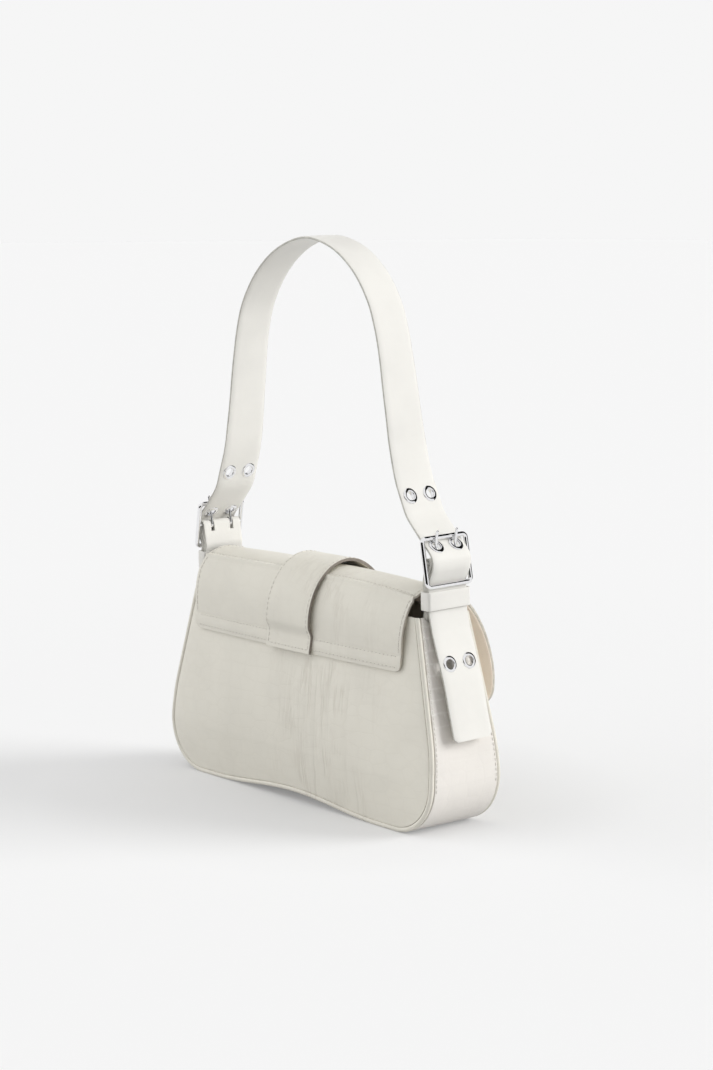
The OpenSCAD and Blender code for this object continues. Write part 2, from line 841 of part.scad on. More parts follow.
// One eyelet: a barrel with a domed flange on each face of the strap
module eyelet() {
  rise = 0.45;
  half = (eyelet_r - eyelet_hole_r) / 2;
  dome_r = (pow(half, 2) + pow(rise, 2)) / (2 * rise);
  top = strap_half_t + 0.02;
  rotate_extrude($fn = 40) {
    translate([eyelet_hole_r, -top - 0.02]) square([0.4, 2 * (top + 0.02)]);
    for (m = [0, 1]) mirror([0, m])
      translate([eyelet_hole_r + half, top])
        intersection() {
          translate([0, rise - dome_r]) circle(r = dome_r, $fn = 64);
          translate([-half, 0]) square([2 * half, rise]);
        }
  }
}

module eyelets_right() { color(metal) on_strap() at_eyelets(1) eyelet(); }

module eyelets_left() { color(metal) on_strap() at_eyelets(-1) eyelet(); }

// Buckle parts are drawn at the centre bar, X outward through the frame and Z up it

module at_buckle(side) {
  on_strap() mirror([side > 0 ? 0 : 1, 0, 0])
    translate([bar_x, 0, bar_z]) rotate([0, -frame_tilt, 0]) children();
}

module rod(from, to, r) {
  v = to - from;
  translate(from)
    rotate([0, acos(v[2] / norm(v)), atan2(v[1], v[0])]) cylinder(h = norm(v), r = r, $fn = 32);
}

module frame() {
  y = frame_w / 2 - bar_r;
  c = frame_corner_r;
  for (s = [-1, 1]) {
    rod([0, c - y, s * bar_up], [0, y - c, s * bar_up], bar_r);
    rod([0, s * y, c - bar_up], [0, s * y, bar_up - c], bar_r);
  }
  rod([0, -y, 0], [0, y, 0], bar_r);
  for (q = [0:3])
    rotate([0, 90, 0])
      mirror([q % 2, 0, 0]) mirror([0, q > 1 ? 1 : 0, 0])
        translate([bar_up - c, y - c, 0])
          rotate_extrude(angle = 90, $fn = 48) translate([c, 0]) circle(r = bar_r, $fn = 32);
}

module buckle_right() { color(metal) at_buckle(1) frame(); }

module buckle_left() { color(metal) at_buckle(-1) frame(); }

// A prong: coiled round the centre bar, through its eyelet and over the top bar
module prong(side, y) {
  length = sqrt(pow(bar_up, 2) - pow(prong_coil_r + prong_r + bar_r + seat, 2)) + prong_past;
  at_buckle(side) translate([0, y, 0]) rotate([0, prong_lean, 0]) {
    rotate([90, 0, 0]) rotate([0, 0, 180])
      rotate_extrude(angle = 250, $fn = 64) translate([prong_coil_r, 0]) circle(r = prong_r, $fn = 24);
    translate([-prong_coil_r, 0, 0])
      rotate_extrude($fn = 32) {
        square([prong_r, length]);
        translate([0, length])
          intersection() {
            circle(r = prong_r, $fn = 32);
            square(prong_r);
          }
      }
  }
}

module prong_right_back() { color(metal) prong(1, eyelet_pitch / 2); }

module prong_right_front() { color(metal) prong(1, -eyelet_pitch / 2); }

module prong_left_back() { color(metal) prong(-1, eyelet_pitch / 2); }

module prong_left_front() { color(metal) prong(-1, -eyelet_pitch / 2); }

// Chape: two sewn layers that open out round the centre bar, drawn in X and Z

// Distance from the middle of the strap to the middle of the chape inside the keeper
chape_in = 3;
// Height from the bend over the gusset's edge to the mouth
chape_bend = 5;

// Middle of the chape where it runs down inside the gusset
function anchor_x(z) = half_width(z) - (gusset_t + chape_t + 2 * soft_gap) / cos(flank_lean);

chape_points = [
  for (drop = [chape_bend + 3, chape_bend]) [anchor_x(body_h - drop), body_h - drop],
  for (rise = [0, keeper_h - 1.2, keeper_h + 4.3])
    [keeper_x - chape_in - pow(rise / keeper_h, 4) * 0.44, keeper_z + rise]
];

// Where a line from p just touches a circle of radius r about c, on one side
function touch(p, c, r, side) =
  let (v = c - p, g = asin(r / norm(v)), d = norm(v) * cos(g), a = atan2(v[1], v[0]) + side * g)
    p + d * [cos(a), sin(a)];

module chape_shape() {
  centre = [bar_x, bar_z];
  last = chape_points[4];
  aside = left_of(chape_points, 4) * (chape_t + running) / 2;
  band(chape_points, -chape_t - running / 2, chape_t + running / 2);
  for (s = [-1, 1])
    band([last + s * aside, touch(last + s * aside, centre, chape_r, s)], -chape_t / 2, chape_t / 2);
  translate(centre) circle(r = chape_r + chape_t / 2, $fn = 64);
}

module chape(side) {
  slot = 2 * prong_r + 1;
  reach = chape_r + chape_t;
  on_strap() mirror([side > 0 ? 0 : 1, 0, 0])
    intersection() {
      difference() {
        widened(chape_w) chape_shape();
        translate([bar_x, 0, bar_z]) rotate([90, 0, 0])
          cylinder(h = chape_w + 1, r = bar_r + 2 * running, center = true, $fn = 48);
        for (y = [-1, 1] * eyelet_pitch / 2)
          translate([bar_x - 2 * reach, y - slot / 2, bar_z - reach - 1.2])
            cube([4 * reach, slot, 3 * reach]);
      }
      union() {
        translate([bar_x - frame_w / 2, 0, pivot_z])
          rotate([0, 90, 0]) cylinder(h = frame_w, r = turn_r, $fn = 96);
        translate([bar_x - frame_w / 2, -chape_w, pivot_z]) cube([frame_w, 2 * chape_w, frame_h]);
      }
    }
}

module chape_right() { color(leather) chape(1); }

module chape_left() { color(leather) chape(-1); }

// The chape's fixed ends, sewn between gusset and lining
module chape_anchors() {
  color(leather) placed()
    for (m = [0, 1]) mirror([m, 0, 0])
      difference() {
        widened(chape_w)
          band(
            [for (drop = [0, anchor_l]) [anchor_x(body_h - drop), body_h - drop]],
            -chape_t - running / 2, chape_t + running / 2
          );
        translate([bar_x - frame_w / 2, 0, pivot_z]) rotate([0, 90, 0])
          cylinder(h = frame_w, r = turn_r + soft_gap, $fn = 96);
      }
}

// Keeper: a loop round the chape and the strap's tail
module keeper(side) {
  inner = chape_points[3][0] - chape_t - 2 * soft_gap;
  outer = tail_points[4][0] + strap_half_t + soft_gap;
  on_strap() mirror([side > 0 ? 0 : 1, 0, 0])
    translate([inner - keeper_t, -keeper_w / 2, keeper_z])
      difference() {
        cube([outer - inner + 2 * keeper_t, keeper_w, keeper_h]);
        translate([keeper_t, keeper_t, -1])
          cube([outer - inner, keeper_w - 2 * keeper_t, keeper_h + 2]);
      }
}

module keeper_right() { color(leather) keeper(1); }

module keeper_left() { color(leather) keeper(-1); }

back_panel();
front_panel();
gusset();
back_piping();
front_piping();
back_facing();
front_facing();
back_lining();
front_lining();
gusset_lining();
slip_pocket();
base_board();
chape_anchors();
flap_hem();
tab_hem();
snap_socket();
snap_washer();
flap_shell();
flap_lining();
centre_tab();
snap_stud();
strap_leather();
strap_backing();
chape_right();
chape_left();
eyelets_right();
eyelets_left();
buckle_right();
buckle_left();
prong_right_back();
prong_right_front();
prong_left_back();
prong_left_front();
keeper_right();
keeper_left();
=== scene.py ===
import math

import bpy
from mathutils import Matrix, Vector, noise


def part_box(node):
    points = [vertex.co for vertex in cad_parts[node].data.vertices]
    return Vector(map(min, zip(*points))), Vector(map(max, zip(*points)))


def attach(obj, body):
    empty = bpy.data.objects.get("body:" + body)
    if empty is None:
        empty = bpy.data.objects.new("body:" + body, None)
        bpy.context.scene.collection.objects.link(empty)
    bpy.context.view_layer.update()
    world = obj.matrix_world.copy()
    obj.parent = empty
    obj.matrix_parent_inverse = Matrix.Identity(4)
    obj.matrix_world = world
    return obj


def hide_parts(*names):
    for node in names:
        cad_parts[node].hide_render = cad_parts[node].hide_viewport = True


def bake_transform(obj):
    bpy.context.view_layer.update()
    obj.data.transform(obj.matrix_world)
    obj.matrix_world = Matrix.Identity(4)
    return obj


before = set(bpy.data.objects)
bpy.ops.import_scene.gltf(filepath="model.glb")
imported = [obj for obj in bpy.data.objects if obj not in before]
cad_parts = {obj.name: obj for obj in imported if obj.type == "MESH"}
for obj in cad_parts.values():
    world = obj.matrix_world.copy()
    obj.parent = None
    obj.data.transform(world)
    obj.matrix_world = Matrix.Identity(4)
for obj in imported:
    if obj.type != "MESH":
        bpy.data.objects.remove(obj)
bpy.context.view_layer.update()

# The bag's driving sizes, in millimetres about the middle of its body, as in the source
MM = 0.001
gusset_low, gusset_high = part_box("gusset")
BODY_W = (gusset_high.x - gusset_low.x) / MM
BODY_H = gusset_high.z / MM
SHIFT = (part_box("back_piping")[1].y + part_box("front_piping")[0].y) / 2
MOUTH_W = 226
BASE_DEPTH = 57
MOUTH_DEPTH = 42
TAPER_START = 35
CORNER_R = 34
FLANK_R = 120
ARCH_RISE = 5.5
ARCH_HALF = 85
BACK_BELLY = 6
FRONT_BELLY = 8
PANEL_T = 1.6
PIPING_R = 1.6
PIPING_PROUD = 0.8
LINING_T = 0.8
LINING_GAP = 1.5
LINING_INSET = 5.6
FACING_H = 14
POCKET_LOW = 34
POCKET_H = 66
POCKET_W = 124
POCKET_SIDE_IN = 3.4
SEAT = 0.1
SOFT_GAP = 0.35

HEM_LOW = BODY_H - 34
HINGE_Z = HEM_LOW + 10
HEM_HALF = MOUTH_W / 2 - 9
HEM_CORNER_R = 5
FLAP_HALF = MOUTH_W / 2 - 7.4
FLAP_FRONT_HALF = MOUTH_W / 2 - 9
RIDGE_Y = MOUTH_DEPTH / 2 - 3
RIDGE_Z = BODY_H + 15.5
RIDGE_DROOP = 4
ROOF_CROWN = 6
SHOULDER_Y = MOUTH_DEPTH / 2 - 3
SHOULDER_Z = BODY_H + 13
FRONT_FLARE = 11.5
FRONT_REACH = 40.6
FRONT_WIDE_Z = BODY_H - 48
FLAP_LOW = BODY_H - 66
FLAP_CORNER_R = 12
FLAP_T = 1.5
FLAP_LINING_T = 1
HEM_T = FLAP_T + SEAT + FLAP_LINING_T

TAB_W = 44
TAB_T = 2
TAB_BULGE = 2.4
TAB_SHOULDER_Z = HINGE_Z + 8
TAB_CREST_Z = RIDGE_Z + 9.5
TAB_LOW = FLAP_LOW - 10
TAB_CORNER_R = 14
TAB_FRONT = FRONT_REACH + TAB_T + SEAT + 1.1

STRAP_W = 31.5
STRAP_HALF_T = 1.125
STRAP_TOP = BODY_H + 230.4
CROWN_Z = BODY_H + 154
CROWN_HALF = MOUTH_W / 2 - 37
STRAP_LEAN = math.radians(1.3)
PIVOT_Z = BODY_H + 16
KEEPER_X = MOUTH_W / 2 + 3.2
KEEPER_Z = BODY_H + 4.6
KEEPER_H = 11.6
KEEPER_T = 1
KEEPER_W = 34.8
TAIL_STAND = 6.2
TAIL_DROP = 74
EYELET_PITCH = 15.9
EYELET_HOLE_R = 3
PRONG_PAIR = (EYELET_PITCH / 2, -EYELET_PITCH / 2)
PRONG_R = 0.9
EYELET_UP = 72
EYELET_DOWN = 28
FRAME_TILT = math.radians(9.7)
FRAME_H = 32.5
BAR_R = 1.5
BAR_X = MOUTH_W / 2 + 2.6
BAR_Z = BODY_H + 34.1
CHAPE_T = 1.4
CHAPE_W = 31
CHAPE_R = BAR_R + 0.1 + CHAPE_T / 2
TURN_R = math.hypot(KEEPER_W / 2, PIVOT_Z - KEEPER_Z + 1) + 1


def lerp(a, b, f):
    return a + (b - a) * f


def clamp(value, low, high):
    return min(max(value, low), high)


def at(x, y, z):
    """A place given in millimetres about the body, in the row's frame in metres."""
    return Vector((x * MM, y * MM + SHIFT, z * MM))


def way(angle):
    """The direction at an angle, in the plane of an outline."""
    return Vector((math.cos(angle), math.sin(angle)))


def hump(distance, half, height=1.0):
    """Height of a soft hump at a distance from its middle."""
    return height * math.exp(-((distance / half) ** 2))


def even(low, high, count):
    return [lerp(low, high, k / count) for k in range(count + 1)]


BACK_AND_FRONT = ((1, "back"), (-1, "front"))
RIGHT_AND_LEFT = ((1, "right"), (-1, "left"))


# Outline of the body, and the depth of its bellied panels

FLANK_C = Vector((BODY_W / 2 - FLANK_R, CORNER_R))
CORNER_C = Vector((BODY_W / 2 - CORNER_R, CORNER_R))
to_mouth = Vector((MOUTH_W / 2, BODY_H)) - FLANK_C
FLANK_LEAN = math.atan2(to_mouth.y, to_mouth.x) - math.acos(FLANK_R / to_mouth.length)
QUARTER = math.pi / 4
CORNER_RUN = CORNER_R * QUARTER
FLANK_RUN = FLANK_R * FLANK_LEAN
BASE_RUN = CORNER_C.x + CORNER_RUN
FLANK_STRAIGHT = (BODY_H - CORNER_R - FLANK_R * math.sin(FLANK_LEAN)) / math.cos(FLANK_LEAN)
FLANK_LENGTH = CORNER_RUN + FLANK_RUN + FLANK_STRAIGHT
OUTLINE_LENGTH = 2 * (FLANK_LENGTH + BASE_RUN)
# How fast the belly rises from the base and the sides, and how much of it fades at the mouth
BELLY_RISE = 2.2
BELLY_SIDES = 0.6
BELLY_FADE = 0.85


def half_width(z, inset=0.0):
    r = FLANK_R - inset
    top = FLANK_C + r * way(FLANK_LEAN)
    if z >= top.y:
        return top.x - (z - top.y) * math.tan(FLANK_LEAN)
    if z >= CORNER_R:
        return FLANK_C.x + math.sqrt(r**2 - (z - CORNER_R) ** 2)
    return CORNER_C.x + math.sqrt(max(0.0, (CORNER_R - inset) ** 2 - (CORNER_R - z) ** 2))


def base_height(x, inset=0.0):
    if abs(x) >= ARCH_HALF:
        return inset
    return inset + ARCH_RISE * (1 + math.cos(math.pi * x / ARCH_HALF)) / 2


def seam_y(z):
    f = clamp((z - TAPER_START) / (BODY_H - TAPER_START), 0, 1.1)
    return lerp(BASE_DEPTH, MOUTH_DEPTH, f) / 2


def belly(x, z):
    span = half_width(z, 2 * PIPING_R)
    middle = BODY_H / 2
    low = clamp((z - base_height(x, 2 * PIPING_R)) / middle, 0, 1)
    high = max(0.0, z - middle) / middle
    rise = 1 - (1 - low) ** BELLY_RISE - BELLY_FADE * high**2
    return rise * max(0.0, 1 - (x / span) ** 2) ** BELLY_SIDES


def panel_depth(x, z, side):
    return seam_y(z) + (BACK_BELLY if side > 0 else FRONT_BELLY) * belly(x, z)


def base_at(share, inset):
    """Point of the base, from its middle at 0 to halfway round a corner at 1 or -1."""
    run = abs(share) * BASE_RUN
    if run < CORNER_C.x:
        x, z = run, base_height(run, inset)
    else:
        a = (run - CORNER_C.x) / CORNER_R - math.pi / 2
        x = CORNER_C.x + (CORNER_R - inset) * math.cos(a)
        z = CORNER_C.y + (CORNER_R - inset) * math.sin(a)
    return Vector((math.copysign(x, share), z))


def flank_at(share, inset, top):
    """Point of the flank, from halfway round the corner at 0 to the height top at 1."""
    low = CORNER_R + (FLANK_R - inset) * math.sin(FLANK_LEAN)
    straight = (top - low) / math.cos(FLANK_LEAN)
    run = share * (CORNER_RUN + FLANK_RUN + straight)
    if run < CORNER_RUN:
        a = run / CORNER_R - QUARTER
        return CORNER_C + (CORNER_R - inset) * way(a)
    if run < CORNER_RUN + FLANK_RUN:
        a = (run - CORNER_RUN) / FLANK_R
        return FLANK_C + (FLANK_R - inset) * way(a)
    z = lerp(low, top, (run - CORNER_RUN - FLANK_RUN) / straight)
    return Vector((half_width(z, inset), z))


def outline_at(share, inset, top=BODY_H):
    """Point once round the closed sides, from the left of the mouth at 0 to its right at 1."""
    run = (2 * share - 1) * OUTLINE_LENGTH / 2
    if abs(run) <= BASE_RUN:
        return base_at(run / BASE_RUN, inset)
    p = flank_at((abs(run) - BASE_RUN) / FLANK_LENGTH, inset, top)
    return Vector((math.copysign(p.x, run), p.y))


def fill_at(u, v, inset, top):
    """Point inside the outline: u across it from 0 to 1, v up it."""
    base = base_at(2 * u - 1, inset)
    corner = base_at(1, inset)
    flank = flank_at(v, inset, top)
    mouth_x = flank_at(1, inset, top).x
    rise = (flank.y - corner.y) / (top - corner.y)
    across = base.x / corner.x
    x = lerp(base.x, across * mouth_x, rise) + across * (flank.x - lerp(corner.x, mouth_x, rise))
    z = lerp(base.y, top, rise) + flank.y - lerp(corner.y, top, rise)
    return x, z


# Operators that every piece is made with

def only(*objects):
    """Selects these objects and nothing else."""
    bpy.ops.object.select_all(action="DESELECT")
    for o in objects:
        o.select_set(True)
    bpy.context.view_layer.objects.active = objects[0]


def begun(primitive, **settings):
    """Starts a piece from one primitive, with nothing else selected."""
    bpy.ops.object.select_all(action="DESELECT")
    primitive(**settings)
    return bpy.context.active_object


def joined(pieces, name):
    """Makes one piece of several."""
    only(*pieces)
    if len(pieces) > 1:
        bpy.ops.object.join()
    pieces[0].name = name
    return pieces[0]


def in_edit_mode(piece, *steps):
    """Runs each step in edit mode, with all of the piece selected at the start."""
    only(piece)
    bpy.ops.object.mode_set(mode="EDIT")
    bpy.ops.mesh.select_all(action="SELECT")
    for step in steps:
        step()
    bpy.ops.object.mode_set(mode="OBJECT")


def apply_modifier(piece, kind, **settings):
    only(piece)
    modifier = piece.modifiers.new(kind.title(), kind)
    for key, value in settings.items():
        setattr(modifier, key, value)
    bpy.ops.object.modifier_apply(modifier=modifier.name)


def smooth(piece, degrees=38):
    only(piece)
    bpy.ops.object.shade_smooth_by_angle(angle=math.radians(degrees))


def wear(piece, *materials):
    piece.data.materials.clear()
    for material in materials:
        piece.data.materials.append(material)


def loft(name, across, along, surface):
    """A sheet whose points lie on surface(u, v), both from 0 to 1, given in millimetres."""
    piece = begun(bpy.ops.mesh.primitive_grid_add, x_subdivisions=across, y_subdivisions=along, size=1)
    piece.name = name
    for vertex in piece.data.vertices:
        vertex.co = at(*surface(vertex.co.x + 0.5, vertex.co.y + 0.5))
    return piece


def face_away(piece, middle):
    """Turns a sheet's faces so that they look away from a place inside the bag."""
    middle = at(*middle)
    facing = sum(p.area * p.normal.dot((p.center - middle).normalized()) for p in piece.data.polygons)
    if facing < 0:
        in_edit_mode(piece, bpy.ops.mesh.flip_normals)


# Places that the faces of the body's sheets and of the flap's sheets look away from
BODY_MIDDLE = (0, 0, 70)
FLAP_MIDDLE = (0, 0, 100)
# Share of a sheet's thickness by which its cut edges are rounded
EDGE_ROUNDING = 0.3
EDGE_ANGLE = math.radians(50)


def leather_sheet(name, across, along, surface, thickness, materials, middle=BODY_MIDDLE):
    """A sheet with rounded edges; materials are for its face, its edge and its back."""
    piece = loft(name, across, along, surface)
    wear(piece, *materials)
    face_away(piece, middle)
    apply_modifier(
        piece, "SOLIDIFY", thickness=thickness * MM, offset=-1, use_even_offset=False,
        material_offset_rim=1 if len(materials) > 1 else 0,
        material_offset=2 if len(materials) > 2 else 0,
    )
    apply_modifier(
        piece, "BEVEL", width=thickness * EDGE_ROUNDING * MM, segments=3, limit_method="ANGLE",
        angle_limit=EDGE_ANGLE, harden_normals=False,
    )
    smooth(piece)
    return piece


def merge_points():
    bpy.ops.mesh.remove_doubles(threshold=1e-6)


def close_ends():
    """Fills the two open ends of the wall in edit mode."""
    bpy.ops.mesh.select_mode(type="EDGE")
    bpy.ops.mesh.select_all(action="DESELECT")
    bpy.ops.mesh.select_non_manifold()
    bpy.ops.mesh.fill_holes(sides=0)


def turn_outward():
    bpy.ops.mesh.select_all(action="SELECT")
    bpy.ops.mesh.normals_make_consistent(inside=False)


def sweep(name, rings, capped=True):
    """A closed wall through rings of points, in metres, its two ends filled where it is capped."""
    around, along = len(rings[0]), len(rings) - 1
    piece = begun(bpy.ops.mesh.primitive_grid_add, x_subdivisions=around, y_subdivisions=along, size=1)
    piece.name = name
    for vertex in piece.data.vertices:
        k = round((vertex.co.x + 0.5) * around) % around
        vertex.co = rings[round((vertex.co.y + 0.5) * along)][k]
    ends = [close_ends] if capped else []
    in_edit_mode(piece, merge_points, *ends, turn_outward)
    return piece


def cut(piece, cutters):
    """Cuts the joined cutters out of a piece."""
    cutter = joined(cutters, "cutter")
    apply_modifier(piece, "BOOLEAN", operation="DIFFERENCE", solver="EXACT", object=cutter)
    bpy.data.objects.remove(cutter)


def placed(piece, body, slot, *nodes):
    """Puts a finished piece on its body, in place of the plain solids that it stands for."""
    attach(piece, body)
    if nodes:
        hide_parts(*nodes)
    return piece


def bent(piece, slot, *nodes):
    """Hides the plain solids that a piece stands for, and bakes its place into its points."""
    if nodes:
        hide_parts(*nodes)
    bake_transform(piece)
    return piece


# Materials

def new_material(name):
    material = bpy.data.materials.new(name)
    material.use_nodes = True
    tree = material.node_tree
    tree.nodes.clear()
    output = tree.nodes.new("ShaderNodeOutputMaterial")
    shader = tree.nodes.new("ShaderNodeBsdfPrincipled")
    tree.links.new(shader.outputs["BSDF"], output.inputs["Surface"])
    return material, tree, shader


def put(tree, node, inputs):
    """Sets or links a node's inputs by name."""
    for key, value in dict(inputs).items():
        if isinstance(value, bpy.types.NodeSocket):
            tree.links.new(value, node.inputs[key])
        else:
            node.inputs[key].default_value = value


def add(tree, kind, inputs=(), **settings):
    """A new node with its settings, and its inputs set or linked by name."""
    node = tree.nodes.new("ShaderNode" + kind)
    for key, value in settings.items():
        setattr(node, key, value)
    put(tree, node, inputs)
    return node


def object_place(tree, scale=(1, 1, 1), turn=(0, 0, 0)):
    place = add(tree, "TexCoord").outputs["Object"]
    return add(tree, "Mapping", {"Vector": place, "Scale": scale, "Rotation": turn}).outputs["Vector"]


def noisy(tree, scale, detail, stretch=(1, 1, 1), rough=0.5):
    """Soft noise over the piece, its places stretched along the three axes."""
    inputs = {"Vector": object_place(tree, stretch), "Scale": scale, "Detail": detail, "Roughness": rough}
    return add(tree, "TexNoise", inputs).outputs["Fac"]


def bands(tree, scale, distortion, turn=(0, 0, 0), direction="X"):
    """Fine parallel bands across the piece."""
    inputs = {"Vector": object_place(tree, turn=turn), "Scale": scale, "Distortion": distortion}
    return add(tree, "TexWave", inputs, wave_type="BANDS", bands_direction=direction).outputs["Fac"]


def cells(tree, scale, randomness, feature, stretch=(1, 1, 1)):
    """Distance within small cells over the piece."""
    inputs = {"Vector": object_place(tree, stretch), "Scale": scale, "Randomness": randomness}
    return add(tree, "TexVoronoi", inputs, feature=feature).outputs["Distance"]


def ramp(tree, value, stops, interpolation="LINEAR"):
    """A colour ramp through (position, colour) stops."""
    node = add(tree, "ValToRGB", {"Fac": value})
    node.color_ramp.interpolation = interpolation
    elements = node.color_ramp.elements
    while len(elements) < len(stops):
        elements.new(0.5)
    for element, (position, colour) in zip(elements, stops):
        element.position = position
        element.color = (*colour, 1)
    return node.outputs["Color"]


def grey(v):
    return (v, v, v)


def shade(colour, factor):
    return tuple(c * factor for c in colour)


def ranged(tree, value, low, high, start=0, stop=1, interpolation="LINEAR"):
    """A value taken from the range start to stop to the range low to high, and held to it."""
    inputs = {"Value": value, "From Min": start, "From Max": stop, "To Min": low, "To Max": high}
    return add(tree, "MapRange", inputs, interpolation_type=interpolation).outputs["Result"]


def combined(tree, first, second, operation="ADD"):
    return add(tree, "Math", {0: first, 1: second}, operation=operation).outputs["Value"]


def bumped(tree, height, strength, distance, under=None):
    """The normal of a bumped face, laid over another normal where one is given."""
    inputs = {"Height": height, "Strength": strength, "Distance": distance}
    if under is not None:
        inputs["Normal"] = under
    return add(tree, "Bump", inputs).outputs["Normal"]


def tinted(tree, tone, tint, share, blend="MULTIPLY"):
    """A tone with a tint laid over it, by a share from 0 to 1."""
    inputs = {"Factor": share, "A": tone, "B": (*tint, 1)}
    return add(tree, "Mix", inputs, data_type="RGBA", blend_type=blend).outputs["Result"]


# Middle of the worn place, and how far from it the cracks start to fade and end
WORN_X = -34
WORN_FADE = 18
WORN_END = 68


def worn_lines(tree):
    """Fine upright cracks round the worn place of the bag: 1 off them, down to 0 along them."""
    across = add(tree, "SeparateXYZ", {"Vector": object_place(tree)}).outputs["X"]
    away = combined(tree, combined(tree, across, WORN_X * MM, "SUBTRACT"), 0, "ABSOLUTE")
    near = ranged(tree, away, 1, 0, WORN_FADE * MM, WORN_END * MM, "SMOOTHSTEP")
    wander = combined(tree, noisy(tree, 210, 3, (1, 0.4, 0.07), 0.55), 0.5, "SUBTRACT")
    gap = combined(tree, combined(tree, wander, 0, "ABSOLUTE"), 14, "MULTIPLY")
    line = combined(tree, combined(tree, 1, gap, "SUBTRACT"), 0, "MAXIMUM")
    shown = ranged(tree, noisy(tree, 60, 2, (1, 1, 0.5)), 0, 1, 0.42, 0.6)
    crack = combined(tree, combined(tree, line, near, "MULTIPLY"), shown, "MULTIPLY")
    return combined(tree, 1, crack, "SUBTRACT")


# Tint that darkens the pressed lines between the scales: painted shade in them
PRESSED_LINE_SHADE = (0.55, 0.5, 0.43)
# Tint that darkens the cracks: painted shade in the creases
CRACK_SHADE = (0.5, 0.44, 0.38)
# Tone the gusset's grooves are lightened towards: a painted highlight, the light the grooves catch
GROOVE_HIGHLIGHT = (0.95, 0.925, 0.885)


def embossed_leather(name, colour, emboss=0.15, creases=0.1, rough=0.4, wear_and_crack_shade=0.0, highlit_grooves=False):
    """Coated leather with a fine grain, faint pressed scales and a few upright creases."""
    material, tree, shader = new_material(name)
    cloudy = noisy(tree, 22, 4, rough=0.6)
    tone = ramp(tree, cloudy, [(0.3, shade(colour, 0.955)), (0.55, colour), (0.75, shade(colour, 1.015))])
    scales = cells(tree, 1, 0.55, "DISTANCE_TO_EDGE", (75, 75, 118))
    pressed = ramp(tree, scales, [(0.0, grey(0)), (0.09, grey(0.8)), (0.3, grey(1))], "EASE")
    # The pressed lines are darkened: painted shade in these hollows
    tone = tinted(tree, tone, PRESSED_LINE_SHADE, ranged(tree, pressed, emboss * 0.35, 0))
    normal = bumped(tree, cells(tree, 950, 0.9, "SMOOTH_F1"), 0.16, 0.00012)
    if wear_and_crack_shade:
        cracks = worn_lines(tree)
        # The cracks are bumped, and their colour darkened as painted shade in the creases
        tone = tinted(tree, tone, CRACK_SHADE, ranged(tree, cracks, wear_and_crack_shade * 0.16, 0))
        normal = bumped(tree, cracks, wear_and_crack_shade * 0.5, 0.0005, normal)
    if highlit_grooves:
        depth = add(tree, "Attribute", attribute_name="groove").outputs["Fac"]
        # Grooves lightened: painted highlight
        tone = tinted(tree, tone, GROOVE_HIGHLIGHT, depth, "MIX")
    normal = bumped(tree, noisy(tree, 120, 3, (1, 1, 0.12)), creases, 0.0006, normal)
    put(tree, shader, {
        "Base Color": tone,
        "Normal": bumped(tree, pressed, emboss, 0.0004, normal),
        "Roughness": ranged(tree, cloudy, rough - 0.07, rough + 0.08),
        "Specular IOR Level": 0.42,
        "Coat Weight": 0.12,
        "Coat Roughness": 0.3,
    })
    return material


def patterned(name, colour, pattern, tones, strength, distance, roughness, metallic=0.0):
    """A finish that one pattern shades, bumps and roughens; tones are (pattern, shade) pairs."""
    material, tree, shader = new_material(name)
    value = pattern(tree)
    if isinstance(roughness, tuple):
        roughness = ranged(tree, value, *roughness)
    put(tree, shader, {
        "Base Color": ramp(tree, value, [(place, shade(colour, share)) for place, share in tones]),
        "Normal": bumped(tree, value, strength, distance),
        "Roughness": roughness,
        "Metallic": metallic,
    })
    return material


def edge_paint(name, colour):
    """Sealed and painted cut edge, a little uneven."""
    return patterned(
        name, colour, lambda tree: noisy(tree, 320, 3), ((0.3, 0.82), (0.7, 1.12)), 0.3, 0.0002, (0.38, 0.55)
    )


def woven_cloth(name, colour):
    """Fine twill lining: two crossed bands of threads, with slubs and a soft sheen."""
    material, tree, shader = new_material(name)
    warp = bands(tree, 520, 0.6, (0, 0.8, 0))
    weft = bands(tree, 640, 0.5, direction="Z")
    slubs = noisy(tree, 260, 3, (1, 1, 0.2))
    weave = combined(tree, combined(tree, warp, 0.5, "MULTIPLY"), combined(tree, weft, 0.5, "MULTIPLY"))
    height = combined(tree, weave, combined(tree, slubs, 0.5, "MULTIPLY"))
    put(tree, shader, {
        "Base Color": ramp(tree, height, [(0.25, shade(colour, 0.8)), (0.75, shade(colour, 1.06))]),
        "Normal": bumped(tree, height, 0.35, 0.0003),
        "Roughness": ranged(tree, slubs, 0.72, 0.88),
        "Sheen Weight": 0.25,
        "Sheen Roughness": 0.5,
        "Specular IOR Level": 0.25,
    })
    return material


def twisted_thread(name, colour):
    """Waxed thread, its twist seen as fine slanted bands."""
    return patterned(
        name, colour, lambda tree: bands(tree, 900, 0.4, (0.4, 0.5, 0.6)), ((0.2, 0.82), (0.8, 1.04)),
        0.4, 0.0002, 0.6,
    )


def polished_chrome(name, colour):
    """Bright plated metal with faint polishing marks."""
    return patterned(
        name, colour, lambda tree: noisy(tree, 420, 4, (1, 6, 1)), ((0.3, 0.93), (0.7, 1)),
        0.03, 0.0001, (0.04, 0.1), metallic=1,
    )


def pressed_board(name, colour):
    """Grey-brown fibre board."""
    return patterned(
        name, colour, lambda tree: noisy(tree, 90, 6, (3, 12, 3)), ((0.3, 0.75), (0.7, 1.1)),
        0.3, 0.0003, (0.8, 0.95),
    )
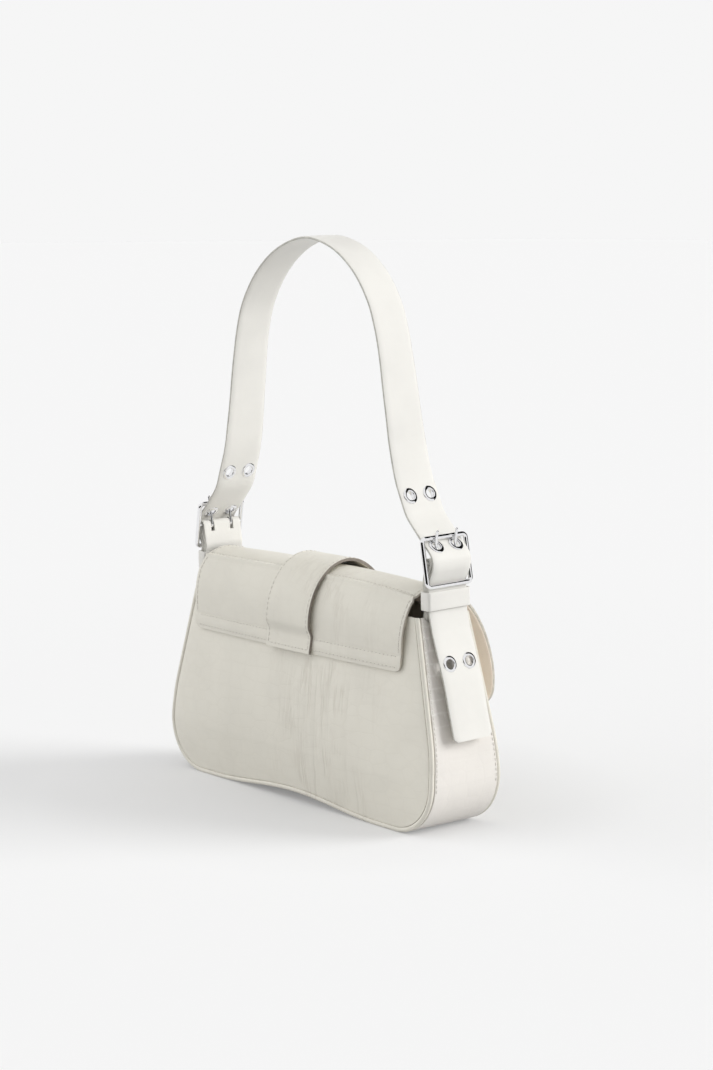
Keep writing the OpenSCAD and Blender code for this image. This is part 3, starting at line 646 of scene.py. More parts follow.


# A darker, warmer copy of the pale leather, for the panels, piping and flap: painted shade, the tone of the
# back panel in shade
SHADED_CREAM = (0.785, 0.758, 0.675)
PALE = (0.845, 0.83, 0.785)
# The gusset's tone: the pale leather, made a little darker and pinker, partly painted shade to warm the
# shadow behind the strap's tail
SCALED_WITH_SHADE = (0.85, 0.815, 0.765)
panel_leather = embossed_leather("panel_leather", shade(SHADED_CREAM, 1.045), emboss=0.1, creases=0.3, wear_and_crack_shade=1)
gusset_leather = embossed_leather(
    "gusset_leather", SCALED_WITH_SHADE, emboss=0.06, creases=0.05, rough=0.36, highlit_grooves=True
)
flap_leather = embossed_leather("flap_leather", SHADED_CREAM, emboss=0.08, creases=0.25, wear_and_crack_shade=0.8)
strap_leather = embossed_leather("strap_leather", PALE, emboss=0.0, creases=0.03, rough=0.42)
inner_leather = embossed_leather("inner_leather", (0.72, 0.68, 0.6), emboss=0.0, creases=0.05, rough=0.5)
flap_edge = edge_paint("flap_edge", (0.58, 0.54, 0.47))
tab_edge = edge_paint("tab_edge", (0.25, 0.22, 0.19))
panel_edge = edge_paint("panel_edge", (0.55, 0.51, 0.44))
strap_edge = edge_paint("strap_edge", (0.58, 0.57, 0.52))
# Dark for the stitch ends: painted shade in the stitch holes
stitch_hole_shade = edge_paint("stitch_hole_shade", (0.2, 0.17, 0.14))
lining_cloth = woven_cloth("lining_cloth", (0.9, 0.8, 0.7))
thread = twisted_thread("thread", (0.84, 0.81, 0.74))
chrome = polished_chrome("chrome", (0.9, 0.9, 0.91))
board = pressed_board("board", (0.4, 0.34, 0.27))


# Stitches: one is modelled, and copied along a row

# Share of a stitch's length, from its middle, past which it is painted dark: painted shade in its hole
HOLE_FROM = 0.36
# Share of its radius by which a stitch's middle stands above the leather
STITCH_RISE = 0.25
# Step on a sheet, as a share of it, over which its slope is taken
NEARBY = 0.004


def one_stitch(length, radius):
    stitch = begun(bpy.ops.mesh.primitive_uv_sphere_add, segments=8, ring_count=5, radius=1)
    size = (radius * MM, radius * MM, length / 2 * MM)
    in_edit_mode(stitch, lambda: bpy.ops.transform.resize(value=size))
    wear(stitch, thread, stitch_hole_shade)
    for face in stitch.data.polygons:
        face.material_index = int(abs(face.center.z) > HOLE_FROM * length * MM)
    only(stitch)
    bpy.ops.object.shade_smooth()
    return stitch


def row_places(surface, path, pitch, middle):
    """Evenly spaced (place, along, outward) on a surface, along a path of (u, v) points."""
    points = [Vector(surface(u, v)) for u, v in path]
    places, gone, due = [], 0.0, pitch / 2
    for k in range(len(path) - 1):
        span = (points[k + 1] - points[k]).length
        while span > 0 and due <= gone + span:
            f = (due - gone) / span
            u, v = (lerp(path[k][i], path[k + 1][i], f) for i in (0, 1))
            du = Vector(surface(min(1, u + NEARBY), v)) - Vector(surface(max(0, u - NEARBY), v))
            dv = Vector(surface(u, min(1, v + NEARBY))) - Vector(surface(u, max(0, v - NEARBY)))
            out = du.cross(dv).normalized()
            here = points[k].lerp(points[k + 1], f)
            if out.dot(here - Vector(middle)) < 0:
                out = -out
            places.append((here, (points[k + 1] - points[k]).normalized(), out))
            due += pitch
        gone += span
    return places


def stitch_row(name, surface, path, pitch=3.5, length=2.6, radius=0.32, middle=BODY_MIDDLE, above=0.0):
    model = one_stitch(length, radius)
    copies = []
    for here, along, out in row_places(surface, path, pitch, middle):
        if here.z < above:
            continue
        aside = out.cross(along).normalized()
        out = along.cross(aside)
        copy = model.copy()
        copy.data = model.data.copy()
        bpy.context.scene.collection.objects.link(copy)
        turn = Matrix((aside, out, along)).transposed().to_4x4()
        copy.matrix_world = Matrix.Translation(at(*(here + out * radius * STITCH_RISE))) @ turn
        copies.append(copy)
    bpy.data.objects.remove(model)
    row = joined(copies, name)
    bpy.ops.object.transform_apply(location=True, rotation=True, scale=True)
    return row


def across_at(v, low, high, count):
    """A path across a sheet at a height v."""
    return [(u, v) for u in even(low, high, count)]


def along_at(u, low, high, count):
    """A path along a sheet at a place u across it."""
    return [(u, v) for v in even(low, high, count)]


# Body: two panels, one gusset strip with pressed scales, piping in both seams

PANEL_INSET = 2 * PIPING_R + SEAT
# Place and half width of the creased part, and heights of its streaks and of the waves all over
CREASED_X = -38
CREASED_HALF = 46
STREAK = 0.3
FINE_STREAK = 0.2
WAVE = 0.35
# The one fold line: its place, half width and depth, and how far it wanders
FOLD_X = -21
FOLD_HALF = 0.9
FOLD_DEPTH = 0.3
FOLD_WANDER = 1.2


def panel_wrinkles(x, z, side):
    """Height of a panel's soft upright wrinkles, and of the fold line in the back."""
    creased = hump(x - CREASED_X, CREASED_HALF) * clamp(z / 30, 0, 1)
    streak = STREAK * noise.noise(Vector((x / 6, z / 60, 3 * side)))
    fine = FINE_STREAK * abs(noise.noise(Vector((x / 3.4, z / 28, 9 * side))))
    wave = WAVE * noise.noise(Vector((x / 55, z / 45, 5 * side)))
    fold_x = FOLD_X + FOLD_WANDER * math.sin(z / 40)
    fold = hump(x - fold_x, FOLD_HALF, FOLD_DEPTH) * clamp((z - 12) / 10, 0, 1)
    return creased * (streak + fine) + wave - (fold if side > 0 else 0)


def panel_surface(side, inset=PANEL_INSET, below=0.0, top=BODY_H, wrinkled=True):
    def surface(u, v):
        x, z = fill_at(u, v, inset, top)
        rim = clamp(min(u, 1 - u, v) * 12, 0, 1)
        relief = panel_wrinkles(x, z, side) * rim if wrinkled else 0
        return x, side * (panel_depth(x, z, side) - below + relief), z

    return surface


for side, end in BACK_AND_FRONT:
    name = end + "_panel"
    face = panel_surface(side)
    piece = leather_sheet(name + "_leather", 190, 96, face, PANEL_T, (panel_leather, panel_edge))
    placed(piece, "bag", "leather", name)

GUSSET_GAP = 2 * PIPING_R - PIPING_PROUD + SEAT
GUSSET_T = 1.6
SCALE_H = 7.6
SCALE_W = 13.5
# Shares of a scale, from its middle, at which the groove along it and the groove across it start
ROW_GROOVE = 0.76
COLUMN_GROOVE = 0.86
SCALE_DOME = 0.1
GROOVE_DEPTH = 0.24
# The scales fade from full depth to the least over this rise, down towards the base
SCALES_FADE = (60, 74)
LEAST_DEPTH = 0.1
# Share of the flank's lean at the mouth that its run up from the corner has on average
MEAN_LEAN = 0.7


def scale_groove(run, y):
    """How deep in a groove a place along and across the gusset lies, and how high on a dome."""
    row = run / SCALE_H + 0.22 * noise.noise(Vector((run / 14, y / 9, 0)))
    stagger = 0.5 * (math.floor(row) % 2) + 0.16 * math.sin(2.4 * math.floor(row))
    column = y / SCALE_W + stagger + 0.12 * noise.noise(Vector((run / 9, y / 12, 7)))
    near_row, near_column = (abs(n - math.floor(n) - 0.5) * 2 for n in (row, column))
    groove = max(
        clamp((near_row - ROW_GROOVE) / (1 - ROW_GROOVE), 0, 1),
        clamp((near_column - COLUMN_GROOVE) / (1 - COLUMN_GROOVE), 0, 1),
    )
    return groove**1.5, 1 - 0.5 * (near_row**2 + near_column**2)


def scale_depth(z):
    low, high = SCALES_FADE
    return clamp((z - low) / (high - low), LEAST_DEPTH, 1)


def scale_relief(run, y):
    groove, dome = scale_groove(run, y)
    return SCALE_DOME * dome - GROOVE_DEPTH * groove


def mark_groove_highlight(piece):
    """Keeps how deep in a groove each point lies, for the painted highlight that lightens the gusset's
    grooves.
    """
    marks = piece.data.attributes.new("groove", "FLOAT", "POINT")
    flank = OUTLINE_LENGTH / 2 - FLANK_LENGTH
    for vertex in piece.data.vertices:
        x, z = abs(vertex.co.x) / MM, vertex.co.z / MM
        if x < CORNER_C.x or z < CORNER_R:
            continue
        run = flank + CORNER_RUN + (z - CORNER_R) / math.cos(FLANK_LEAN * MEAN_LEAN)
        groove = scale_groove(math.copysign(run, vertex.co.x), (vertex.co.y - SHIFT) / MM)[0]
        marks.data[vertex.index].value = groove * scale_depth(z)


def gusset_top(y, high):
    r = TURN_R + SOFT_GAP + SEAT
    return high if abs(y) >= r else min(high, PIVOT_Z - math.sqrt(r**2 - y**2))


def gusset_surface(inset=0.0, edge_gap=GUSSET_GAP, high=BODY_H, pressed=True):
    def surface(u, v):
        across = 2 * u - 1
        top = gusset_top(across * (seam_y(high) - edge_gap), high)
        flat_place = outline_at(v, inset, top)
        y = across * (seam_y(flat_place.y) - edge_gap)
        rim = clamp((1 - abs(across)) * 9, 0, 1) * scale_depth(flat_place.y)
        relief = scale_relief((v - 0.5) * OUTLINE_LENGTH, y) * rim if pressed else 0
        p = outline_at(v, inset - relief, top)
        return p.x, y, p.y

    return surface


gusset = leather_sheet("gusset_leather", 52, 640, gusset_surface(), GUSSET_T, (gusset_leather,))
mark_groove_highlight(gusset)
placed(gusset, "bag", "leather", "gusset")


PIPING_STEPS = 260
PIPING_SIDES = 14
PIPING_ROUND = [PIPING_R * way(math.tau * s / PIPING_SIDES) for s in range(PIPING_SIDES)]


def piping_rings(side):
    rings = []
    for share in even(0, 1, PIPING_STEPS):
        p = outline_at(share, PIPING_R)
        out = (outline_at(share, 0) - p).normalized()
        y = side * (seam_y(p.y) + PIPING_PROUD - PIPING_R)
        rings.append([at(p.x + c.x * out.x, y + c.y, p.y + c.x * out.y) for c in PIPING_ROUND])
    return rings


for side, end in BACK_AND_FRONT:
    node = end + "_piping"
    piece = sweep(node + "_leather", piping_rings(side))
    apply_modifier(
        piece, "BEVEL", width=0.4 * MM, segments=2, limit_method="ANGLE", angle_limit=math.radians(60)
    )
    wear(piece, panel_leather)
    smooth(piece)
    placed(piece, "bag", "leather", node)


# Inside: facings round the mouth, lining, slip pocket

def strip_surface(half, low, high, side, below, inset):
    def surface(u, v):
        z = lerp(low, high, v)
        x = (2 * u - 1) * min(half, half_width(z, inset))
        return x, side * (panel_depth(x, z, side) - below), z

    return surface


LINING_TOP = BODY_H - FACING_H - SOFT_GAP
LINING_DEPTH = PANEL_T + LINING_GAP
for side, end in BACK_AND_FRONT:
    face = strip_surface(MOUTH_W, BODY_H - FACING_H, BODY_H, side, PANEL_T + SOFT_GAP, LINING_INSET + 3)
    piece = leather_sheet(end + "_facing_leather", 60, 8, face, PANEL_T, (inner_leather, panel_edge))
    placed(piece, "bag", "leather", end + "_facing")
    cover = panel_surface(side, LINING_INSET + LINING_T + SEAT, LINING_DEPTH, LINING_TOP, False)
    piece = leather_sheet(end + "_lining_cloth", 80, 44, cover, LINING_T, (lining_cloth,))
    placed(piece, "bag", "lining", end + "_lining")

inner_gusset = gusset_surface(LINING_INSET, LINING_DEPTH + 2, LINING_TOP, False)
piece = leather_sheet("gusset_lining_cloth", 16, 150, inner_gusset, LINING_T, (lining_cloth,))
placed(piece, "bag", "lining", "gusset_lining")

pocket_in = LINING_DEPTH + LINING_T + SOFT_GAP
pocket_face = strip_surface(POCKET_W / 2, POCKET_LOW, POCKET_LOW + POCKET_H, 1, pocket_in, POCKET_SIDE_IN)
piece = leather_sheet("slip_pocket_cloth", 50, 30, pocket_face, LINING_T, (lining_cloth,))
placed(piece, "bag", "lining", "slip_pocket")


# Flap: one sheet from its sewn hem, over the ridge and roof, down to its front edge

def rounded_half(half, r, d):
    return half if d >= r else half - r + math.sqrt(max(0.0, r**2 - (r - d) ** 2))


def hem_depth(x, z):
    return panel_depth(x, z, 1) + SOFT_GAP + HEM_T


# Lengths along the flap of its hem, back, roof, round front and front edge
FLAP_RUNS = (10, 41, 36, 82, 14)
FLAP_LENGTH = sum(FLAP_RUNS)
RIDGE_V = (FLAP_RUNS[0] + FLAP_RUNS[1]) / FLAP_LENGTH
HEM_V = FLAP_RUNS[0] / FLAP_LENGTH
# How fast the ridge droops towards its left end, and the share of that at its right end
DROOP_CURVE = 2.5
DROOP_RIGHT = 0.2
# How full the round front is, and the share of its reach that its edge is tucked in by
FRONT_ROUND = 1.25
FRONT_TUCK = 0.06


def stretch_of(v, runs):
    """Which stretch of a sheet v lies in, and how far along it, from 0 to 1."""
    run = v * sum(runs)
    for k, length in enumerate(runs[:-1]):
        if run < length:
            return k, run / length
        run -= length
    return len(runs) - 1, min(1.0, run / runs[-1])


def flap_place(t, v):
    """Point of the flap's outer face at t from -1 to 1 across it and v from 0 to 1 along it."""
    stretch, f = stretch_of(v, FLAP_RUNS)
    droop = RIDGE_DROOP * abs(t) ** DROOP_CURVE * (1 if t < 0 else DROOP_RIGHT)
    ridge, shoulder = RIDGE_Z - droop, SHOULDER_Z - droop
    if stretch == 0:
        z = lerp(HEM_LOW, HINGE_Z, f)
        x = t * rounded_half(HEM_HALF, HEM_CORNER_R, z - HEM_LOW)
        return x, hem_depth(x, z), z
    if stretch == 1:
        y = hem_depth(t * HEM_HALF, HINGE_Z)
        return t * lerp(HEM_HALF, FLAP_HALF, f), lerp(y, RIDGE_Y, f**3), lerp(HINGE_Z, ridge, f)
    if stretch == 2:
        z = lerp(ridge, shoulder, f) + 4 * ROOF_CROWN * f * (1 - f)
        return t * FLAP_HALF, lerp(RIDGE_Y, -SHOULDER_Y, f), z
    reach = FRONT_REACH + FRONT_FLARE * t**2 - SHOULDER_Y
    if stretch == 3:
        a = f * math.pi / 2
        z = FRONT_WIDE_Z + (shoulder - FRONT_WIDE_Z) * math.cos(a) ** FRONT_ROUND
        half = rounded_half(lerp(FLAP_HALF, FLAP_FRONT_HALF, f), FLAP_CORNER_R, z - FLAP_LOW)
        return t * half, -SHOULDER_Y - reach * math.sin(a) ** FRONT_ROUND, z
    z = lerp(FRONT_WIDE_Z, FLAP_LOW, f)
    half = rounded_half(FLAP_FRONT_HALF, FLAP_CORNER_R, z - FLAP_LOW)
    return t * half, -SHOULDER_Y - reach * (1 - FRONT_TUCK * f**2), z


# Half width and height of the ridge's bead, the valley at its back and the seam on its roof side
RIDGE_BEAD = (1.1, 0.8)
RIDGE_VALLEY = (0.7, 0.35)
RIDGE_SEAM = (0.7, 0.3)
# How far the valley and the seam are from the ridge, and which way the bead stands out
VALLEY_BACK = 2.2
RIDGE_ROW = 2.4
BEAD_OUT = 0.6
BEAD_UP = 0.8
# Half width and depth of the pressed lower lip of the hem, and of its pressed upper row
HEM_LIP = (3.4, 1.1)
HEM_PRESSED = (1, 0.25)
SOFT_WAVE = 0.4
# How much further out the back's right end stands, and where along x it starts and is full
FULLER = 3.4
FULLER_FROM = 55
FULLER_FULL = 105


def flap_surface(u, v):
    x, y, z = flap_place(2 * u - 1, v)
    from_ridge = (v - RIDGE_V) * FLAP_LENGTH
    bead = hump(from_ridge, *RIDGE_BEAD) - hump(from_ridge + VALLEY_BACK, *RIDGE_VALLEY)
    seam = hump(from_ridge - RIDGE_ROW, *RIDGE_SEAM)
    soft = SOFT_WAVE * noise.noise(Vector((x / 40, y / 30, z / 35))) * clamp((v - HEM_V) * 12, 0, 1)
    back = -soft if y > RIDGE_Y else 0
    roof = soft if y <= RIDGE_Y and v < 0.7 else 0
    pressed = hump(v * FLAP_LENGTH, *HEM_LIP) + hump((v - HEM_V) * FLAP_LENGTH, *HEM_PRESSED)
    sideways = clamp((x - FULLER_FROM) / (FULLER_FULL - FULLER_FROM), 0, 1) ** 2
    fuller = FULLER * sideways * clamp((RIDGE_V + 0.03 - v) * 12, 0, 1)
    return x + fuller, y + bead * BEAD_OUT + back - pressed, z + bead * BEAD_UP + roof - seam


flap = leather_sheet("flap_leather", 104, 240, flap_surface, FLAP_T, (flap_leather, flap_edge), FLAP_MIDDLE)
bent(flap, "leather", "flap_hem", "flap_shell")


def flap_normal(t, v):
    du = Vector(flap_place(t + NEARBY, v)) - Vector(flap_place(t - NEARBY, v))
    dv = Vector(flap_place(t, min(1, v + NEARBY))) - Vector(flap_place(t, max(HEM_V, v - NEARBY)))
    return dv.cross(du).normalized()


# How far the lining stands in from the flap's side edges, at the back and at the front
LINING_IN_BACK = 2.6
LINING_IN_FRONT = 0.4


def flap_lining_surface(u, v):
    t = 2 * u - 1
    v = lerp(HEM_V + 0.004, 1, v)
    inward = flap_normal(t, v)
    p = Vector(flap_place(t, v))
    stand_in = lerp(LINING_IN_BACK, LINING_IN_FRONT, clamp((v - RIDGE_V) * 5, 0, 1))
    p.x *= 1 - stand_in / FLAP_HALF
    if inward.dot(p - Vector(FLAP_MIDDLE)) > 0:
        inward = -inward
    return p + inward * (FLAP_T + SEAT)


lining = leather_sheet(
    "flap_lining_cloth", 80, 110, flap_lining_surface, FLAP_LINING_T, (lining_cloth,), FLAP_MIDDLE
)
placed(lining, "flap", "lining", "flap_lining")


# Centre tab: sewn down with the hem, then clear over the ridge and roof

# Lengths along the tab of its hem, shoulder, back, front and end
TAB_RUNS = (10, 8.4, 52, 86, 24)
TAB_FRONT_Z = FRONT_WIDE_Z + 2
TAB_END_IN = 1.2


def tab_surface(u, v):
    t = 2 * u - 1
    x = t * TAB_W / 2
    stretch, f = stretch_of(v, TAB_RUNS)
    y = hem_depth(x, HINGE_Z) + SEAT + TAB_T
    if stretch == 0:
        z = lerp(HEM_LOW, HINGE_Z, f)
        return x, hem_depth(x, z) + SEAT + TAB_T, z
    if stretch == 1:
        return x, y + TAB_BULGE * (1 - math.cos(math.pi * f)) / 2, lerp(HINGE_Z, TAB_SHOULDER_Z, f)
    if stretch == 2:
        a = f * math.pi / 2
        z = TAB_SHOULDER_Z + (TAB_CREST_Z - TAB_SHOULDER_Z) * math.sin(a)
        return x, (y + TAB_BULGE) * math.cos(a), z
    if stretch == 3:
        a = f * math.pi / 2
        z = TAB_FRONT_Z + (TAB_CREST_Z - TAB_FRONT_Z) * math.cos(a)
        return x, -TAB_FRONT * math.sin(a), z
    z = lerp(TAB_FRONT_Z, TAB_LOW, f)
    return t * rounded_half(TAB_W / 2, TAB_CORNER_R, z - TAB_LOW), -TAB_FRONT + TAB_END_IN * f, z


tab_leathers = (flap_leather, tab_edge, inner_leather)
tab = leather_sheet("centre_tab_leather", 24, 170, tab_surface, TAB_T, tab_leathers, FLAP_MIDDLE)
bent(tab, "leather", "tab_hem", "centre_tab")


# Strap: one band from tail end to tail end, threaded through both buckles

def leaned(x, y, z):
    """Moves a point of the upright strap to the strap's lean, then to its place."""
    up = z - PIVOT_Z
    c, s = math.cos(STRAP_LEAN), math.sin(STRAP_LEAN)
    return at(x, y * c + up * s, PIVOT_Z - y * s + up * c)


def rounded_corner(a, b, c, r, steps):
    """The bend of radius r between the lines from b to a and from b to c."""
    u, w = (a - b).normalized(), (c - b).normalized()
    half = math.acos(clamp(u.dot(w), -1, 1)) / 2
    centre = b + (u + w).normalized() * r / math.sin(half)
    start = (b + u * r / math.tan(half) - centre).normalized()
    stop = (b + w * r / math.tan(half) - centre).normalized()
    sweep_angle = math.pi - 2 * half
    return [
        centre + r * (math.sin(sweep_angle - g) * start + math.sin(g) * stop) / math.sin(sweep_angle)
        for g in even(0, sweep_angle, steps)
    ]


def rounded_path(points, radii, steps):
    """A line through points, with each one between its ends rounded by its own radius."""
    path = [points[0]]
    for k, r in enumerate(radii, start=1):
        path += rounded_corner(points[k - 1], points[k], points[k + 1], r, steps)
    return path + [points[-1]]


def from_buckle(out, up):
    """A place counted out and up from the centre bar, along the tilted frame."""
    c, s = math.cos(FRAME_TILT), math.sin(FRAME_TILT)
    return Vector((BAR_X + out * c - up * s, BAR_Z + out * s + up * c))


BAR_UP = FRAME_H / 2 - BAR_R
BEHIND_BAR = BAR_R + STRAP_HALF_T + SOFT_GAP + SEAT
OVER_BAR = CHAPE_R + CHAPE_T / 2 + STRAP_HALF_T + 2 * SOFT_GAP
OVER_HALF = 3.2
UNDER_BAR = 0.9
tail_drops = (TAIL_DROP, EYELET_DOWN + STRAP_W / 3)
tail_points = [Vector((half_width(BODY_H - drop) + TAIL_STAND, BODY_H - drop)) for drop in tail_drops]
tail_points += [
    Vector((KEEPER_X + TAIL_STAND * 0.4, BODY_H - TAIL_STAND * 1.3)),
    Vector((KEEPER_X, KEEPER_Z - 1.6)),
    Vector((KEEPER_X, KEEPER_Z + KEEPER_H - 0.8)),
]
threaded = [
    from_buckle(-BEHIND_BAR, UNDER_BAR - BAR_UP), from_buckle(OVER_BAR, -OVER_HALF),
    from_buckle(OVER_BAR, OVER_HALF), from_buckle(-BEHIND_BAR, BAR_UP - UNDER_BAR),
]
leg_points = [
    Vector((BAR_X - 16.8, BAR_Z + 27.4)), Vector((BAR_X - 27, BAR_Z + 52.9)),
    Vector((CROWN_HALF + 4, CROWN_Z - 26)),
]
crown_end = Vector((CROWN_HALF, CROWN_Z))
# Radius of the bend at each point between the tail's end and the crown
BEND_RADII = (60, 30, 20, 6, 4, 11, 11, 4, 38, 110, 120)
half_path = rounded_path(tail_points + threaded + leg_points + [crown_end], BEND_RADII, 9)
# Height at which the leg goes over into the line of the crown
LEG_TOP = 236
half_path = half_path[:next(k for k, p in enumerate(half_path) if p.y > LEG_TOP)]

# How far each leg is drawn in at a height, as the strap hangs a little unevenly
DRAWN_IN = {
    1: ((178, 0), (197, 1.8), (212, 1.4), (400, 1.2)),
    -1: ((178, 0), (197, 2.9), (215, 4), (400, 4.2)),
}
# The strap's middle over the crown, from one leg to the other
CROWN_LINE = (
    (85.2, 232), (83.1, 242), (79.9, 262), (76.8, 282), (72.7, 302), (64.9, 322), (49, 342), (27, 356.6),
    (0, STRAP_TOP - STRAP_HALF_T), (-26, 357.5), (-46.5, 343.8), (-60.5, 325.7), (-67.6, 307.6),
    (-71.8, 289.4), (-75, 271), (-78.1, 253), (-80.4, 240), (-82, 231),
)


def eased(stops, value):
    """A smooth curve through (place, height) stops."""
    if value <= stops[0][0]:
        return stops[0][1]
    for (a, low), (b, high) in zip(stops, stops[1:]):
        if value <= b:
            f = (value - a) / (b - a)
            return lerp(low, high, f * f * (3 - 2 * f))
    return stops[-1][1]


def drawn_in(p, side):
    return Vector((side * (p.x - eased(DRAWN_IN[side], p.y)), p.y))


def curve_through(points, steps):
    """A smooth line from the second point to the last but one."""
    made = []
    for a, b, c, d in zip(points, points[1:], points[2:], points[3:]):
        for f in even(0, 1, steps)[:-1]:
            ease_in, ease_out = (c - a) / 2, (d - b) / 2
            made.append(
                b * (2 * f**3 - 3 * f**2 + 1) + ease_in * (f**3 - 2 * f**2 + f)
                + c * (3 * f**2 - 2 * f**3) + ease_out * (f**3 - f**2)
            )
    return made + [points[-2]]


strap_path = [drawn_in(p, 1) for p in half_path] + curve_through([Vector(p) for p in CROWN_LINE], 8)
strap_path += [drawn_in(p, -1) for p in reversed(half_path)]
# Share of its full width that the strap has at a height, as it narrows to its crown
STRAP_TAPER = ((200, 1), (230, 0.965), (262, 0.92), (300, 0.87), (400, 0.85))


def spaced(path, step):
    """The same line with a point about every step."""
    made = []
    for a, b in zip(path, path[1:]):
        pieces = max(1, round((b - a).length / step))
        made += [a.lerp(b, k / pieces) for k in range(pieces)] if (b - a).length > 1e-6 else []
    return made + [path[-1]]


def left_of(path, k):
    ahead = (path[min(k + 1, len(path) - 1)] - path[max(k - 1, 0)]).normalized()
    return Vector((-ahead.y, ahead.x))


# How far in from its edge a strap is full, and is thinned to a share of its thickness
FULL_IN = 5
THINNED_IN = 2.2
THINNED = 0.94
# Angles round the edge at which the section has a point
ROUNDED_AT = (0.6, 1.15, math.pi / 2, 1.99, 2.54)


def flat_section(half, thick, rounding, thin=1.0):
    """Once round a strap's section: (across, through) points, with its edges thinned and rounded."""
    right = [(half - FULL_IN, 1), (half - THINNED_IN, THINNED), (half - rounding, thin)]
    shares = [(-w, share) for w, share in reversed(right)] + [(0, 1)] + right
    half_round = [(w, thick * share) for w, share in shares]
    half_round += [
        (half - rounding * (1 - math.sin(a)), thick * thin * math.cos(a)) for a in ROUNDED_AT
    ]
    return half_round + [(-w, -n) for w, n in half_round]


def length_of(path):
    return sum((b - a).length for a, b in zip(path, path[1:]))


STRAP_STEP = 2.2
STRAP_EDGE_R = 0.45
STRAP_EDGE_THIN = 0.55
TAIL_CORNER_R = 3


def strap_rings():
    path = spaced(strap_path, STRAP_STEP)
    section = flat_section(STRAP_W / 2, STRAP_HALF_T, STRAP_EDGE_R, STRAP_EDGE_THIN)
    length = length_of(path)
    rings, gone = [], 0.0
    for k, p in enumerate(path):
        gone += (p - path[k - 1]).length if k else 0
        end = max(min(gone, length - gone), 0.05)
        taper = rounded_half(STRAP_W / 2, TAIL_CORNER_R, end) / (STRAP_W / 2) * eased(STRAP_TAPER, p.y)
        places = [(p + left_of(path, k) * n, w * taper) for w, n in section]
        rings.append([leaned(q.x, y, q.y) for q, y in places])
    return rings


# How far a face turns to the strap's side before it counts as its cut edge
TURNED_ASIDE = 0.4


def paint_edges(piece):
    """Gives the faces at a strap's two cut edges their paint."""
    for face in piece.data.polygons:
        if abs(face.normal.y) > TURNED_ASIDE:
            face.material_index = 1


# Play between a prong's coil and its bar, and of an eyelet's barrel in its hole
COIL_GAP = 0.05
HOLE_GAP = 0.45


def at_height(a, b, z):
    return a.lerp(b, (z - a.y) / (b.y - a.y))


def eyelet_places(side):
    """Each eyelet's middle, and the way along the strap there, upright; x counts outward."""
    upper = at_height(leg_points[0], leg_points[1], BODY_H + EYELET_UP)
    tail = at_height(tail_points[1], tail_points[2], BODY_H - EYELET_DOWN)
    coil = BAR_R + COIL_GAP + PRONG_R
    lean = math.asin((coil + PRONG_R + BAR_R + SEAT) / BAR_UP)
    a, b = threaded[2], threaded[3]
    c = from_buckle(-coil * math.cos(lean), coil * math.sin(lean))
    d = from_buckle(math.sin(lean), math.cos(lean)) - Vector((BAR_X, BAR_Z))
    across = Vector((-d.y, d.x))
    prong = a.lerp(b, (c - a).dot(across) / (b - a).dot(across))
    run = (leg_points[1] - leg_points[0]).normalized()
    below, above = (drawn_in(upper + run * step, side) for step in (-3, 3))
    upper = (below + above) / 2
    upper.x *= side
    run = (above - below).normalized()
    run.x *= side
    return [
        (upper, run),
        (prong, (b - a).normalized()),
        (tail, (tail_points[2] - tail_points[1]).normalized()),
    ]


def eyelet_cutters():
    cutters = []
    for side in (1, -1):
        for middle, along in eyelet_places(side):
            through = Vector((side * along.y, 0, -along.x))
            cutters += [
                begun(
                    bpy.ops.mesh.primitive_cylinder_add, vertices=28,
                    radius=(EYELET_HOLE_R + HOLE_GAP) * MM, depth=7 * MM,
                    location=leaned(side * middle.x, y, middle.y),
                    rotation=through.to_track_quat("Z", "Y").to_euler(),
                ) for y in PRONG_PAIR
            ]
    return cutters


strap = sweep("strap_band", strap_rings())
wear(strap, strap_leather, strap_edge)
paint_edges(strap)
cut(strap, eyelet_cutters())
smooth(strap, 42)
placed(strap, "strap", "leather", "strap_leather", "strap_backing")


# Eyelets: a barrel whose two flanges are rolled over the strap's faces

# Out from the hole and up from the strap's face, from the barrel over the flange's rolled edge
EYELET_SECTION = (
    (0, 0.35), (0.12, 0.5), (0.4, 0.62), (0.9, 0.64), (1.45, 0.55), (1.95, 0.36),
    (2.2, 0.14), (2.16, -0.06), (1.9, -0.02), (0.42, -0.02),
)


def eyelet_rings(middle, along, side, y):
    """Rings once round one eyelet."""
    through = Vector((along.y, -along.x))
    upper = [(EYELET_HOLE_R + out, h + STRAP_HALF_T) for out, h in EYELET_SECTION]
    section = upper + [(r, -h) for r, h in reversed(upper)]
    rings = []
    for a in even(0, math.tau, 36):
        places = [(middle + along * r * math.sin(a) + through * h, y + r * math.cos(a)) for r, h in section]
        rings.append([leaned(side * p.x, aside, p.y) for p, aside in places])
    return rings


for side, end in RIGHT_AND_LEFT:
    eyelets = [
        sweep("eyelet", eyelet_rings(middle, along, side, y), capped=False)
        for middle, along in eyelet_places(side) for y in PRONG_PAIR
    ]
    eyelets = joined(eyelets, "rolled_eyelets_" + end)
    wear(eyelets, chrome)
    smooth(eyelets, 60)
    placed(eyelets, "strap", "metal", "eyelets_" + end)


# Chape: a strip folded round each centre bar, slotted for the two prongs

ANCHOR_IN = GUSSET_T + CHAPE_T + 2 * SOFT_GAP
ANCHOR_DROP = 27
CHAPE_EDGE_R = 0.5
CHAPE_STEP = 1.2
LAYER_GAP = 0.05
# The slots for the prongs: their width, their middle above the centre bar and their height
SLOT_W = 2.8
SLOT_UP = 4.5
SLOT_H = 18


def anchor_x(z):
    return half_width(z) - ANCHOR_IN / math.cos(FLANK_LEAN)


